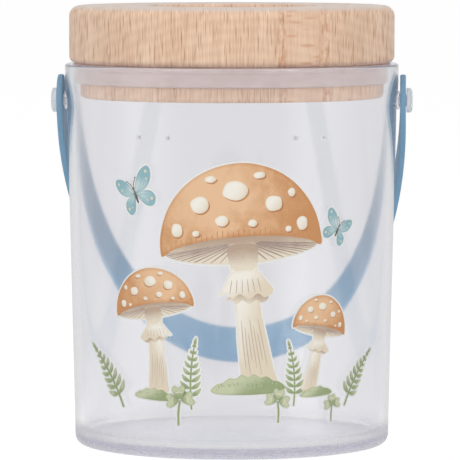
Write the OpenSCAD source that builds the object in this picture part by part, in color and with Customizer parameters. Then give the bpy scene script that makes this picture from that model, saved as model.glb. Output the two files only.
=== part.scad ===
// Bug catcher jar: a clear jar with a wooden plug lid, a magnifier in the lid and a strap handle.
// The jar stands on the plane z = 0 with its axis on Z. The handle turns about X and rests at the back.

/* [Jar] */
// Height of the jar's rim above the ground
jar_height = 130.2; // [90:0.1:200]
// Outer radius of the jar just below the collar
shoulder_radius = 56.45; // [45:0.05:75]
// Radius that the jar loses from there to its rounded base corner
wall_draft = 2.7; // [0:0.1:6]
// Thickness of the jar's side wall
wall = 2.7; // [2:0.1:3]
// Height of the collar round the mouth
collar_height = 11; // [5:0.5:20]
// Radius that the collar stands proud of the wall below it
collar_step = 0.55; // [0.2:0.05:0.9]
// Height over which the wall swells out to the collar
collar_blend = 0.6; // [0.2:0.1:2]
// Rounding of the rim's outer edge
rim_rounding = 1.5; // [0.4:0.1:1.6]
// Rounding of the mouth's inner edge
mouth_rounding = 0.7; // [0.2:0.1:1]
// Rounding of the outer base corner
base_rounding = 5; // [2:0.5:8]
// Height of the inner floor above the ground
floor_height = 3.5; // [3.2:0.1:8]
// Thickness of the floor
floor_thickness = 2.7; // [2:0.1:3]
// Rounding between the inner wall and the floor
floor_rounding = 4.3; // [1.5:0.1:6]
// Width of the flat foot ring that the jar stands on
foot_width = 2.6; // [1.5:0.1:6]

/* [Pivots] */
// Distance of the pivot axis below the rim
pivot_drop = 12.6; // [9:0.1:30]
// Radius of the boss that carries the stud
boss_radius = 3.1; // [2.5:0.1:6]
// Distance that the boss stands out past the collar
boss_reach = 0.35; // [0.2:0.05:2]
// Radius of the stud that the strap turns on
stud_radius = 2.2; // [1.6:0.1:3]
// Radial running clearance between the stud and the strap's hole
stud_clearance = 0.08; // [0.02:0.01:0.1]
// Radius of the pivot cap's head
cap_radius = 4.2; // [3.5:0.1:8]
// Height of the straight part of the cap's head
cap_height = 1.1; // [0.6:0.1:3]
// Rise of the cap's domed face
cap_dome = 0.95; // [0.3:0.05:2]
// Radius of the pin that holds the cap in its stud
cap_pin_radius = 1.1; // [0.6:0.1:1.3]
// Length of the pin that holds the cap in its stud
cap_pin_length = 3; // [1.5:0.1:3.5]
// Interference of the pin in its bore
press_interference = 0.02; // [0.01:0.01:0.05]

/* [Handle] */
// Width of the strap
strap_width = 17.6; // [12:0.1:20]
// Thickness of the strap
strap_thickness = 2; // [1.2:0.1:3]
// Distance from the pivot axis to the outer face of the strap's far end
strap_drop = 110.7; // [100:0.1:130]
// Gap beside the strap, to the boss and to the cap
strap_side_gap = 0.2; // [0.1:0.05:0.5]
// Gap between the resting strap and the jar's back
strap_rest_gap = 0.45; // [0.2:0.05:2]
// Length of the strap below the pivot that stays straight
strap_straight = 5; // [2:0.5:12]

/* [Lid] */
// Distance that the disc's edge stands back from the rim's outer face
disc_inset = 1.4; // [0.8:0.1:3]
// Thickness of the lid's disc
disc_thickness = 19.5; // [8:0.5:30]
// Rounding of the disc's top edge
disc_top_rounding = 3.7; // [1:0.1:6]
// Rounding of the disc's bottom edge
disc_bottom_rounding = 2.6; // [0.5:0.1:4]
// Gap between the disc and the rim
lid_gap = 0.3; // [0.1:0.05:1]
// Gap between the plug and the mouth, which the seal fills
plug_gap = 2.5; // [1.2:0.1:5]
// Depth of the plug below the disc, with the seal groove
plug_depth = 11.7; // [8:0.1:20]
// Rounding of the plug's bottom edge
plug_rounding = 1.7; // [0.5:0.1:3]
// Depth of the seal groove into the plug
groove_depth = 1; // [0.4:0.1:2]
// Height of the seal
seal_height = 6.8; // [3:0.1:8]
// Gap between the seal's lip and the mouth
seal_gap = 0.3; // [0.1:0.05:0.6]
// Height of the seal's lip
seal_lip_height = 1.1; // [0.5:0.1:2]
// Distance that the seal's lip stands out past its band
seal_lip_reach = 0.6; // [0.2:0.1:1]
// Number of air holes
air_hole_count = 8; // [4:1:12]
// Radius of an air hole
air_hole_radius = 1.6; // [1:0.1:2.5]

/* [Magnifier] */
// Width of wood between the opening above the lens and the seal groove
sight_margin = 21.8; // [12:0.1:26]
// Rounding of the opening's upper edge
sight_rounding = 1.5; // [0.5:0.1:3]
// Depth of the lens seat below the lid's top
seat_depth = 8; // [6:0.5:10]
// Width of the lens flange under the seat
flange_width = 3; // [2:0.5:5]
// Thickness of the lens at its flange
lens_edge = 3; // [2:0.5:5]
// Rise of the lens's domed face above its flange
lens_rise = 4.6; // [2:0.1:7]
// Gap between the dome and the edge of the opening
lens_gap = 0.4; // [0.2:0.1:1]
// Width of the ring that holds the lens
ring_width = 4; // [2:0.5:6]
// Height of the ring that holds the lens
ring_height = 5; // [3:0.5:8]
// Rounding of the well's lower edge
well_rounding = 1.2; // [0.5:0.1:2.5]

/* [Hidden] */

// Overrun of every cut past the face that it opens
overrun = 1;
// Steps of a rounded corner, and of each half of the strap's bow
corner_steps = 6;
bow_steps = 26;

// Jar levels and radii that follow from the sizes above
collar_radius = shoulder_radius + collar_step;
collar_level = jar_height - collar_height;
mouth_radius = collar_radius - wall;
base_radius = shoulder_radius - wall_draft;
foot_radius = base_radius - base_rounding;
recess_height = floor_height - floor_thickness;

// Outer radius of the wall at a height between the base corner and the collar
function wall_radius(height) = base_radius
    + (shoulder_radius - base_radius) * (height - base_rounding) / (collar_level - base_rounding);

// Pivot places along X
pivot_height = jar_height - pivot_drop;
boss_face = collar_radius + boss_reach;
strap_inner_face = boss_face + strap_side_gap;
strap_outer_face = strap_inner_face + strap_thickness;
cap_face = strap_outer_face + strap_side_gap;
hole_radius = stud_radius + stud_clearance;

// The strap leans on the jar's back with the near corner of its far end, at the distance lean_reach
strap_inner_drop = strap_drop - strap_thickness;
lean_reach = norm([strap_inner_drop, strap_width / 2]);
corner_angle = atan2(strap_width / 2, strap_inner_drop);

// Angle from straight down at which the corner clears a wall of the given radius
function lean_for(radius) = asin((radius + strap_rest_gap) / lean_reach);
first_lean = lean_for(base_radius);
touch_height = pivot_height - lean_reach * cos(first_lean);
lean = corner_angle + lean_for(wall_radius(touch_height));

// How far each side of the strap keeps its direction before it bends, as shares of the drop. The left
// side is drawn in a little more than the right one, and the far end is rounder on the left.
left_side_share = 0.434;
left_end_share = 0.348;
right_side_share = 0.54;
right_end_share = 0.328;

// Lid levels and radii
disc_radius = collar_radius - disc_inset;
plug_radius = mouth_radius - plug_gap;
disc_bottom = jar_height + lid_gap;
lid_top = disc_bottom + disc_thickness;
plug_bottom = disc_bottom - plug_depth;
groove_radius = plug_radius - groove_depth;
seal_bottom = disc_bottom - seal_height;
seal_lip_radius = mouth_radius - seal_gap;
seal_band_radius = seal_lip_radius - seal_lip_reach;
sight_radius = groove_radius - sight_margin;
seat_radius = sight_radius + flange_width;
seat_level = lid_top - seat_depth;
lens_bottom = seat_level - lens_edge;
ring_bottom = lens_bottom - ring_height;
dome_radius = sight_radius - lens_gap;
dome_curve = (dome_radius * dome_radius + lens_rise * lens_rise) / (2 * lens_rise);
air_circle = (seat_radius + groove_radius) / 2;

// Points of an arc about a centre, from one angle to another
function arc(centre, radius, from, to) = [
    for (step = [0 : corner_steps])
        let (angle = from + (to - from) * step / corner_steps)
            centre + radius * [cos(angle), sin(angle)]
];

// Point and direction of a cubic curve through four control points at a share of its length
function curve_point(controls, share) =
    pow(1 - share, 3) * controls[0] + 3 * pow(1 - share, 2) * share * controls[1]
    + 3 * (1 - share) * pow(share, 2) * controls[2] + pow(share, 3) * controls[3];
function curve_direction(controls, share) =
    pow(1 - share, 2) * (controls[1] - controls[0])
    + 2 * (1 - share) * share * (controls[2] - controls[1])
    + pow(share, 2) * (controls[3] - controls[2]);
function left_normal(direction) = [-direction[1], direction[0]] / norm(direction);

// Middle line of one side of the strap, seen flat with the pivot axis at y = 0 and the far end at -Y
function side_controls(side, side_share, end_share) =
    let (half_gap = side * (strap_inner_face + strap_thickness / 2),
         far = -(strap_drop - strap_thickness / 2))
    [
        [half_gap, -strap_straight],
        [half_gap, -strap_straight - side_share * strap_drop],
        [side * end_share * strap_drop, far],
        [0, far]
    ];

// One face of a side of the strap, offset from its middle line
function side_face(side, side_share, end_share, offset) =
    let (controls = side_controls(side, side_share, end_share))
    [
        for (step = [0 : bow_steps])
            let (share = step / bow_steps,
                 normal = left_normal(curve_direction(controls, share)))
                curve_point(controls, share) + side * offset * normal
    ];

// A whole face of the strap, from the top of its left end round to the top of its right end
function strap_face(offset) =
    let (left = side_face(-1, left_side_share, left_end_share, offset),
         right = side_face(1, right_side_share, right_end_share, offset),
         half_gap = strap_inner_face + strap_thickness / 2 + offset,
         top = strap_width / 2 + overrun)
    concat(
        [[-half_gap, top]],
        left,
        [for (step = [bow_steps - 1 : -1 : 0]) right[step]],
        [[half_gap, top]]
    );

function reversed(points) = [for (step = [len(points) - 1 : -1 : 0]) points[step]];

// Cylinder along X that stands out from a face on the given side
module side_pin(side, radius, from, to) {
    translate([side * from, 0, pivot_height])
        rotate([0, side * 90, 0])
            cylinder(r = radius, h = to - from, $fn = 64);
}

// Half section of the jar: foot ring, wall, collar, rim, inner wall and floor
module jar_section() {
    rim = arc([collar_radius - rim_rounding, jar_height - rim_rounding], rim_rounding, 0, 90);
    mouth = arc([mouth_radius + mouth_rounding, jar_height - mouth_rounding], mouth_rounding, 90, 180);
    inner_corner_height = floor_height + floor_rounding;
    inner_corner = arc(
        [wall_radius(inner_corner_height) - wall - floor_rounding, inner_corner_height],
        floor_rounding, 0, -90);
    recess_top = foot_radius - foot_width - recess_height;
    polygon(concat(
        [[0, recess_height], [recess_top, recess_height], [foot_radius - foot_width, 0]],
        arc([foot_radius, base_rounding], base_rounding, -90, 0),
        [[shoulder_radius, collar_level], [collar_radius, collar_level + collar_blend]],
        rim,
        mouth,
        [[mouth_radius, collar_level], [shoulder_radius - wall, collar_level - collar_blend]],
        inner_corner,
        [[0, floor_height]]
    ));
}

module jar_body() {
    color([0.9, 0.91, 0.95, 0.35])
        difference() {
            union() {
                rotate_extrude($fn = 180)
                    jar_section();
                for (side = [-1, 1]) {
                    side_pin(side, boss_radius, mouth_radius + wall / 3, boss_face);
                    side_pin(side, stud_radius, mouth_radius + wall / 2, cap_face);
                }
            }
            for (side = [-1, 1])
                side_pin(side, cap_pin_radius - press_interference, cap_face - cap_pin_length,
                         cap_face + overrun);
        }
}

// Headed cap with a domed face, whose pin is pressed into the stud
module pivot_cap(side) {
    cap_curve = (cap_radius * cap_radius + cap_dome * cap_dome) / (2 * cap_dome);
    dome_centre = cap_height + cap_dome - cap_curve;
    edge_angle = acos(cap_radius / cap_curve);
    color([0.86, 0.88, 0.9, 0.6])
        translate([side * cap_face, 0, pivot_height])
            rotate([0, side * 90, 0])
                rotate_extrude($fn = 64)
                    polygon(concat(
                        [[0, -cap_pin_length], [cap_pin_radius, -cap_pin_length]],
                        [[cap_pin_radius, 0], [cap_radius, 0]],
                        arc([0, dome_centre], cap_curve, edge_angle, 90)));
}

module pivot_cap_left() {
    pivot_cap(-1);
}

module pivot_cap_right() {
    pivot_cap(1);
}

// Bail bent from a flat band, tilted back until it leans on the jar
module handle_strap() {
    reach = strap_outer_face + overrun;
    color([0.45, 0.6, 0.72])
        translate([0, 0, pivot_height])
            rotate([90 + lean, 0, 0])
                difference() {
                    intersection() {
                        translate([0, 0, -strap_width / 2])
                            linear_extrude(strap_width)
                                polygon(concat(
                                    strap_face(strap_thickness / 2),
                                    reversed(strap_face(-strap_thickness / 2))));
                        strap_side_view(reach);
                    }
                    rotate([0, 90, 0])
                        cylinder(r = hole_radius, h = 2 * reach, center = true, $fn = 64);
                }
}

// Side view of the strap as a solid along X: a round end about the pivot and a straight band below it
module strap_side_view(reach) {
    rotate([0, 90, 0])
        linear_extrude(2 * reach, center = true)
            union() {
                circle(d = strap_width, $fn = 96);
                translate([-strap_width / 2, -strap_drop - overrun])
                    square([strap_width, strap_drop + overrun]);
            }
}

// Half section of the wooden lid round its lens well
module lid_section() {
    polygon(concat(
        arc([seat_radius + well_rounding, plug_bottom + well_rounding], well_rounding, 180, 270),
        arc([plug_radius - plug_rounding, plug_bottom + plug_rounding], plug_rounding, -90, 0),
        [[plug_radius, seal_bottom], [groove_radius, seal_bottom], [groove_radius, disc_bottom]],
        arc([disc_radius - disc_bottom_rounding, disc_bottom + disc_bottom_rounding],
            disc_bottom_rounding, -90, 0),
        arc([disc_radius - disc_top_rounding, lid_top - disc_top_rounding], disc_top_rounding, 0, 90),
        arc([sight_radius + sight_rounding, lid_top - sight_rounding], sight_rounding, 90, 180),
        [[sight_radius, seat_level], [seat_radius, seat_level]]
    ));
}

module lid_block() {
    color([0.87, 0.74, 0.62])
        difference() {
            rotate_extrude($fn = 180)
                lid_section();
            for (turn = [0 : air_hole_count - 1])
                rotate([0, 0, (turn + 0.5) * 360 / air_hole_count])
                    translate([air_circle, 0, plug_bottom - overrun])
                        cylinder(r = air_hole_radius, h = lid_top - plug_bottom + 2 * overrun, $fn = 32);
        }
}

// Ring seal with one lip under the disc and a bevelled foot
module lid_seal() {
    color([0.8, 0.77, 0.78, 0.8])
        rotate_extrude($fn = 180)
            polygon([
                [groove_radius, seal_bottom],
                [seal_band_radius - seal_lip_reach, seal_bottom],
                [seal_band_radius, seal_bottom + seal_lip_reach],
                [seal_band_radius, disc_bottom - 2 * seal_lip_height],
                [seal_lip_radius, disc_bottom - 1.5 * seal_lip_height],
                [seal_lip_radius, disc_bottom - seal_lip_height / 2],
                [seal_band_radius, disc_bottom],
                [groove_radius, disc_bottom]
            ]);
}

// Flat flange with a domed face
module magnifier_lens() {
    color([0.93, 0.95, 0.97, 0.4])
        union() {
            translate([0, 0, lens_bottom])
                cylinder(r = seat_radius, h = lens_edge, $fn = 128);
            intersection() {
                translate([0, 0, seat_level - lens_edge / 2])
                    cylinder(r = dome_radius, h = lens_edge / 2 + lens_rise + overrun, $fn = 128);
                translate([0, 0, seat_level + lens_rise - dome_curve])
                    sphere(r = dome_curve, $fn = 180);
            }
        }
}

// Ring pressed into the well under the lens
module lens_ring() {
    color([0.82, 0.68, 0.55])
        translate([0, 0, ring_bottom])
            difference() {
                cylinder(r = seat_radius, h = ring_height, $fn = 128);
                translate([0, 0, -overrun])
                    cylinder(r = seat_radius - ring_width, h = ring_height + 2 * overrun, $fn = 128);
            }
}

jar_body();
pivot_cap_left();
pivot_cap_right();
handle_strap();
lid_block();
lid_seal();
magnifier_lens();
lens_ring();
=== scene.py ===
import logging
import math
from collections import Counter
from collections.abc import Callable, Iterator, Sequence
from dataclasses import dataclass, field
from enum import Enum
from itertools import pairwise

import bmesh
import bpy
from mathutils import Matrix, Vector, geometry


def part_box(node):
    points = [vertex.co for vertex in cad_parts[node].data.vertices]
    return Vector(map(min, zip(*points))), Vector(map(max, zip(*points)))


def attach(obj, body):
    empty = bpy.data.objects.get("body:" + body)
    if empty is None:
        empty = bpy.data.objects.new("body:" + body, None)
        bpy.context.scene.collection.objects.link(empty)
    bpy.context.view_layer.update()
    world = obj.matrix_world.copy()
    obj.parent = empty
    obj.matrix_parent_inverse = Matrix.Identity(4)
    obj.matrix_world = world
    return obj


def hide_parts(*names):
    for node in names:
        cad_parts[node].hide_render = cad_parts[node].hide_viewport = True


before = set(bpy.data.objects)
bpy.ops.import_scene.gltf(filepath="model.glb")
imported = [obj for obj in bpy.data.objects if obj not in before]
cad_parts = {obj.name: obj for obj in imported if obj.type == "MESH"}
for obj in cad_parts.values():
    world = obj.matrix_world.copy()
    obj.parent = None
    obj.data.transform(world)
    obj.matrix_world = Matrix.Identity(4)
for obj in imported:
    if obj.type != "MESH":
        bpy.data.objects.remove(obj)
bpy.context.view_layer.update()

log = logging.getLogger("bug_catcher_jar")

# The model is in metres; sizes are written in millimetres times MM
MM = 0.001
# Less than any length that counts, in metres or millimetres
TINY = 1e-6
# Faces that meet at a sharper angle keep a hard line between them
SHARP_ANGLE = math.radians(32)
# Greatest turn between two points of a rounded corner
ROUNDING_STEP = math.radians(9)
# How far the middle of the jar's front, and the camera, are turned to the right of the frame's own front
FRONT_TURN = math.radians(2.3)
# Outlines of the print and the strap are worked out in plain millimetres
Point = tuple[float, float]
Colour = tuple[float, float, float, float]
# A section corner: radius from the axis, height, rounding
Corner = tuple[float, float, float]
# Flat points, and faces as point numbers
Net = tuple[list[Vector], list[Sequence[int]]]


def srgb(red: int, green: int, blue: int) -> Colour:
    """Turns an 8-bit display colour into the linear one, with an alpha of one, that a shader takes."""
    shares = (channel / 255 for channel in (red, green, blue))
    return *(part / 12.92 if part <= 0.04045 else ((part + 0.055) / 1.055) ** 2.4 for part in shares), 1.0


class Body(Enum):
    """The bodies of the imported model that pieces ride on."""

    JAR = "jar"
    HANDLE = "handle"
    LID = "lid"


class Cut(Enum):
    """Ways in which one solid is joined with another."""

    ADD = "UNION"
    REMOVE = "DIFFERENCE"


@dataclass(frozen=True)
class Wire:
    """A value on its way through a node tree. Arithmetic on numbers adds Math nodes."""

    bench: "Bench"
    socket: bpy.types.NodeSocket | None

    def __add__(self, other: "Wire | float") -> "Wire":
        """Sum of two values."""
        return self.bench.maths("ADD", self, other)

    __radd__ = __add__

    def __sub__(self, other: "Wire | float") -> "Wire":
        """This value less another."""
        return self.bench.maths("SUBTRACT", self, other)

    def __rsub__(self, other: float) -> "Wire":
        """A number less this value."""
        return self.bench.maths("SUBTRACT", other, self)

    def __mul__(self, other: "Wire | float") -> "Wire":
        """Product of two values."""
        return self.bench.maths("MULTIPLY", self, other)

    __rmul__ = __mul__

    def __truediv__(self, other: "Wire | float") -> "Wire":
        """This value divided by another."""
        return self.bench.maths("DIVIDE", self, other)

    def __pow__(self, other: float) -> "Wire":
        """This value to a power."""
        return self.bench.maths("POWER", self, other)

    def __abs__(self) -> "Wire":
        """This value without its sign."""
        return self.bench.maths("ABSOLUTE", self)

    def larger(self, other: "Wire | float") -> "Wire":
        """The larger of two values."""
        return self.bench.maths("MAXIMUM", self, other)

    def smaller(self, other: "Wire | float") -> "Wire":
        """The smaller of two values."""
        return self.bench.maths("MINIMUM", self, other)

    def sine(self) -> "Wire":
        """The sine of this value in radians."""
        return self.bench.maths("SINE", self)

    def step(self, low: float, high: float) -> "Wire":
        """Rises smoothly from 0 to 1 while this value goes from low to high."""
        sockets = {"Value": self, "From Min": low, "From Max": high}
        return self.bench.node("MapRange", sockets, interpolation_type="SMOOTHSTEP")

    def part(self, axis: str) -> "Wire":
        """One part of this vector: X, Y or Z."""
        return self.bench.node("SeparateXYZ", {0: self}, axis)

    def output(self, name: str) -> "Wire":
        """Another output of the node that gave this value."""
        return Wire(self.bench, self.socket.node.outputs[name])


class Bench:
    """The place where the nodes of one material, or of the surroundings, are put together."""

    def __init__(self, owner: bpy.types.Material | bpy.types.World) -> None:
        """Starts with an empty tree.

        Args:
            owner: What the nodes belong to.
        """
        self.owner = owner
        owner.use_nodes = True
        self.tree = owner.node_tree
        self.tree.nodes.clear()

    def node(self, kind: str, inputs: dict[str | int, object], output: str | int = 0,
             **settings: str) -> Wire:
        """Adds one shader node.

        Args:
            kind: The node's type without its ShaderNode prefix.
            inputs: A wire or a value for each socket, by name or place.
            output: The output to return, by name or place.
            settings: Properties of the node, set before its sockets.

        Returns:
            The chosen output, empty for a node that has none.
        """
        node = self.tree.nodes.new("ShaderNode" + kind)
        for name, value in settings.items():
            setattr(node, name, value)
        for name, value in inputs.items():
            if isinstance(value, Wire):
                self.tree.links.new(value.socket, node.inputs[name])
            else:
                node.inputs[name].default_value = value
        return Wire(self, node.outputs[output] if node.outputs else None)

    def maths(self, operation: str, *values: Wire | float) -> Wire:
        """Adds a Math node with this operation on one or two wires or numbers."""
        return self.node("Math", dict(enumerate(values)), operation=operation)

    def mix(self, share: Wire | float, first: Wire | Colour, second: Wire | Colour) -> Wire:
        """Mixes a share of the second colour into the first."""
        return self.node("Mix", {0: share, 6: first, 7: second}, 2, data_type="RGBA")

    def place(self) -> Wire:
        """The surface point in millimetres, in the object's own frame."""
        metres = self.node("TexCoord", {}, "Object")
        return self.node("VectorMath", {0: metres, "Scale": 1 / MM}, operation="SCALE")

    def stretch(self, vector: Wire, cell: float | Sequence[float]) -> Wire:
        """Divides a vector by the size of a texture's cells, one for all axes or one for each."""
        sizes = (cell,) * 3 if isinstance(cell, float) else cell
        return self.node("VectorMath", {0: vector, 1: sizes}, operation="DIVIDE")

    def noise(self, vector: Wire, cell: float | Sequence[float], detail: float = 2.0, rough: float = 0.5,
              warp: float = 0.0) -> Wire:
        """Soft noise from 0 to 1 in cells of a size, with finer layers, their strength and a twist."""
        cells = self.stretch(vector, cell)
        return self.node("TexNoise", {
            "Vector": cells, "Scale": 1.0, "Detail": detail, "Roughness": rough, "Distortion": warp})

    def attribute(self, name: str) -> Wire:
        """A number that the mesh carries at its points."""
        return self.node("Attribute", {}, "Fac", attribute_name=name)

    def bump(self, height: Wire, strength: float, depth: float, base: Wire | None = None) -> Wire:
        """Turns a height from 0 to 1 into a normal, on a base normal if there is one; depth is in metres."""
        below = {"Normal": base} if base else {}
        return self.node("Bump", {"Strength": strength, "Distance": depth, "Height": height, **below})

    def surface(self, inputs: dict[str | int, object]) -> Wire:
        """A Principled shader with these sockets."""
        return self.node("BsdfPrincipled", inputs)

    def finish(self, surface: Wire, volume: Wire | None = None) -> bpy.types.Material | bpy.types.World:
        """Connects the output.

        Args:
            surface: The surface shader, or the surroundings' background.
            volume: The shader of the inside, if it shows.

        Returns:
            What the nodes belong to.
        """
        kind = "OutputWorld" if isinstance(self.owner, bpy.types.World) else "OutputMaterial"
        self.node(kind, {"Surface": surface, "Volume": volume} if volume else {"Surface": surface})
        return self.owner


def material_bench(name: str) -> Bench:
    """A bench for a new material of this name."""
    return Bench(bpy.data.materials.new(name))


@dataclass(frozen=True)
class ClearPlastic:
    """Clear moulded plastic that takes a faint tint where light crosses much of it."""

    name: str
    # Tint of the light that crosses each wall
    skin: Colour
    # Tint of the light that goes a long way inside the plastic, and how fast it takes hold, per metre
    tint: Colour
    density: float
    # Refraction, roughness of the clean skin, and what worn places add to it
    bend: float = 1.52
    haze: float = 0.06
    wear: float = 0.06
    clearness: float = 1.0
    # Tint of worn places, and of the straight light that lamps send through
    worn_tint: Colour = srgb(240, 240, 245)
    straight_tint: Colour = srgb(252, 252, 254)
    # Depth and size of the moulded surface's soft waves
    wave_depth: float = 0.02 * MM
    wave_size: float = 9.0
    # Size of the scuffs, which run up and down
    scuff_size: tuple[float, float, float] = (0.7, 0.7, 6.0)
    # Small moulded marks at the front: how many a full ring would hold, turn of the first from the front,
    # height, distances to the side between which they show, radius, flatness, depth and tint
    marks: int = 0
    mark_turn: float = FRONT_TURN
    mark_height: float = 107.2
    mark_sides: Point = (16.5, 34.3)
    mark_radius: float = 0.9
    mark_flatness: float = 0.65
    mark_depth: float = 0.18 * MM
    mark_tint: Colour = srgb(214, 214, 221)
    # Height in millimetres up to which the underside is frosted, and how rough it is there
    frost_height: float = 0.0
    frost: float = 0.0
    # Radius in millimetres beyond which the studs are frosted, and how rough they are
    stud_radius: float = 1000.0
    stud_frost: float = 0.3

    def material(self) -> bpy.types.Material:
        """Builds the material: a refracting surface, straight light for lamps and a tinted inside."""
        bench = material_bench(self.name)
        place = bench.place()
        waves = bench.noise(place, (self.wave_size, self.wave_size, self.wave_size * 2), 1.0)
        worn = bench.noise(place, self.scuff_size, 3.0, 0.6).step(0.62, 0.75)
        across, depth, rise = (place.part(axis) for axis in "XYZ")
        reach = (across * across + depth * depth) ** 0.5
        frosted = (1 - rise.step(self.frost_height, self.frost_height * 2)) * self.frost
        frosted = frosted + reach.step(self.stud_radius, self.stud_radius + 0.1) * self.stud_frost
        normal = bench.bump(waves, 0.5, self.wave_depth)
        skin = bench.mix(worn * 0.3, self.skin, self.worn_tint)
        if self.marks:
            marked = self.mark_relief(across, depth, rise, reach)
            normal = bench.bump(marked, 1.0, self.mark_depth, normal)
            skin = bench.mix(marked, skin, self.mark_tint)
        clear = bench.surface({
            "Base Color": skin,
            "Roughness": worn * self.wear + frosted + self.haze,
            "IOR": self.bend,
            "Transmission Weight": self.clearness,
            "Normal": normal,
        })
        straight = bench.node("BsdfTransparent", {"Color": self.straight_tint})
        shadow = bench.node("LightPath", {}, "Is Shadow Ray")
        surface = bench.node("MixShader", {0: shadow, 1: clear, 2: straight})
        inside = bench.node("VolumeAbsorption", {"Color": self.tint, "Density": self.density})
        return bench.finish(surface, inside)

    def mark_relief(self, across: Wire, depth: Wire, rise: Wire, reach: Wire) -> Wire:
        """Relief of the small round marks.

        Args:
            across: Distance of the surface point to the right, in millimetres.
            depth: Its distance backwards.
            rise: Its height.
            reach: Its distance from the upright axis.

        Returns:
            1 on a mark, 0 between them.
        """
        spacing = 2 * math.pi / self.marks
        turn = across.bench.maths("ARCTAN2", across, depth) + self.mark_turn
        share = across.bench.maths("FRACT", turn / spacing + self.marks + 0.5) - 0.5
        along = share * reach * spacing
        above = (rise - self.mark_height) * self.mark_flatness
        mark = 1 - ((along * along + above * above) ** 0.5).step(0.0, self.mark_radius)
        near, far = self.mark_sides
        shown = abs(across).step(near - 1, near) * (1 - abs(across).step(far, far + 1))
        return mark * shown * (1 - depth.step(-2.0, -1.0))


@dataclass(frozen=True)
class Beech:
    """Sanded beech, grain along Y: ray flecks, fine fibres, faint growth rings and glued staves, with a
    painted sheen on faces that point up.
    """

    name: str
    pale: Colour = srgb(238, 207, 180)
    middle: Colour = srgb(217, 180, 151)
    brown: Colour = srgb(163, 108, 69)
    pink: Colour = srgb(214, 170, 141)
    # Paler, greyer tone for faces that point up: a painted sheen that stands in for their grazing reflection
    painted_top_sheen: Colour = srgb(212, 203, 198)
    rust: Colour = srgb(205, 148, 112)
    # Stave whose rays lie flat: its edges along X in millimetres, how soft they are, and the flecks beside it
    stave: Point = (20.1, 30.8)
    stave_edge: float = 0.2
    stave_flecks: Point = (18.6, 32.4)
    # Centre of the growth rings, below the lid, in millimetres, and their spacing
    pith: Point = (9.0, 52.0)
    ring_spacing: float = 3.4

    def material(self) -> bpy.types.Material:
        """Builds the material from solid textures, so that every face is cut from one block."""
        bench = material_bench(self.name)
        place = bench.place()
        across, rise = place.part("X"), place.part("Z")
        wander = bench.noise(place, (5.0, 14.0, 11.0)) - 0.5
        left, right = self.stave
        soft = self.stave_edge
        stave = across.step(left - soft, left + soft) * (1 - across.step(right - soft, right + soft))
        flow = bench.node("CombineXYZ", {0: across + wander, 1: place.part("Y"), 2: rise})

        # Rays: upright ribbons in most staves, lying ones in the flat stave
        upright = bench.stretch(flow, (0.52, 5.0, 8.5))
        lying = bench.stretch(flow, (7.5, 9.0, 1.7))
        cells = bench.node("Mix", {0: stave, 4: upright, 5: lying}, 1, data_type="VECTOR")
        ray = bench.node("TexVoronoi", {"Vector": cells, "Scale": 1.0}, "Distance")
        chance = bench.node("SeparateColor", {0: ray.output("Color")})
        fleck = (1 - ray.step(0.16, 0.44)) * (chance + stave * 0.4).step(0.12, 0.6)
        lines = bench.noise(flow, (0.33, 40.0, 9.0)).step(0.5, 0.7) * (1 - stave * 0.7)
        left_edge, right_edge = (1 - abs(across - edge).step(0.4, 2.6) for edge in self.stave_flecks)
        seams = bench.noise(flow, (0.9, 12.0, 2.6), 3.0, 0.6).step(0.42, 0.64) * (left_edge + right_edge)

        # Fibres run along the grain, and tone drifts from one to the next
        fibres = bench.noise(place, (0.6, 40.0, 14.0), 4.0, 0.62)
        drift = bench.noise(place, (6.0, 90.0, 34.0))
        pith_x, pith_z = self.pith
        spoke = ((across - pith_x) ** 2.0 + (rise - pith_z) ** 2.0) ** 0.5
        rings = (spoke * (2 * math.pi / self.ring_spacing) + wander * 5.0).sine() * 0.5 + 0.5
        tone = fibres + drift * 0.45 + rings * 0.1 - 0.28

        # Faces that point up take the paler grey: painted sheen of their grazing reflection
        top_sheen_mask = bench.node("NewGeometry", {}, "Normal").part("Z").step(0.6, 0.95)
        wood = bench.mix(tone.step(0.22, 0.78), self.middle, self.pale)
        for share, colour in (
            (stave * 0.15, self.pink), (seams * 0.8, self.rust), (lines * 0.3, self.brown),
            (fleck * 0.6, bench.mix(stave, self.brown, self.rust)), (top_sheen_mask * 0.65, self.painted_top_sheen),
        ):
            wood = bench.mix(share, wood, colour)
        relief = fibres * 0.6 - fleck * 0.5 - lines * 0.3
        return bench.finish(bench.surface({
            "Base Color": wood,
            "Roughness": 0.5 + fibres * 0.1,
            "Coat Weight": 0.2,
            "Coat Roughness": 0.3,
            "Normal": bench.bump(relief, 0.35, 0.05 * MM),
        }))


@dataclass(frozen=True)
class MatteStrap:
    """Matte moulded strap, with a fine skin, edges rubbed a little paler, and painted light that pales its
    low middle.
    """

    name: str = "strap_blue"
    body: Colour = srgb(100, 146, 178)
    deep: Colour = srgb(88, 133, 166)
    rubbed: Colour = srgb(136, 175, 202)
    # Paler blue painted on the low middle, where the strap gets less light behind the jar
    painted_lift: Colour = srgb(131, 182, 212)
    # Heights in millimetres between which the painted light on the strap's low middle fades out upwards
    painted_lift_heights: Point = (36.0, 88.0)

    def material(self) -> bpy.types.Material:
        """Builds the material."""
        bench = material_bench(self.name)
        place = bench.place()
        clouds = bench.noise(place, 16.0, 3.0)
        skin = bench.noise(place, 0.28)
        edge = 1 - bench.attribute("rim").step(0.1, 1.1)
        colour = bench.mix(clouds.step(0.3, 0.7), self.deep, self.body)
        # Painted light: the strap turns paler below these heights, where it hangs behind the jar
        painted_lift_share = 1 - place.part("Z").step(*self.painted_lift_heights)
        colour = bench.mix(painted_lift_share * (0.8 + clouds * 0.3), colour, self.painted_lift)
        colour = bench.mix(edge * 0.45, colour, self.rubbed)
        return bench.finish(bench.surface({
            "Base Color": colour,
            "Roughness": 0.5 + skin * 0.14,
            "Sheen Weight": 0.08,
            "Sheen Roughness": 0.5,
            "Normal": bench.bump(skin, 0.4, 0.03 * MM),
        }))


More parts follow.
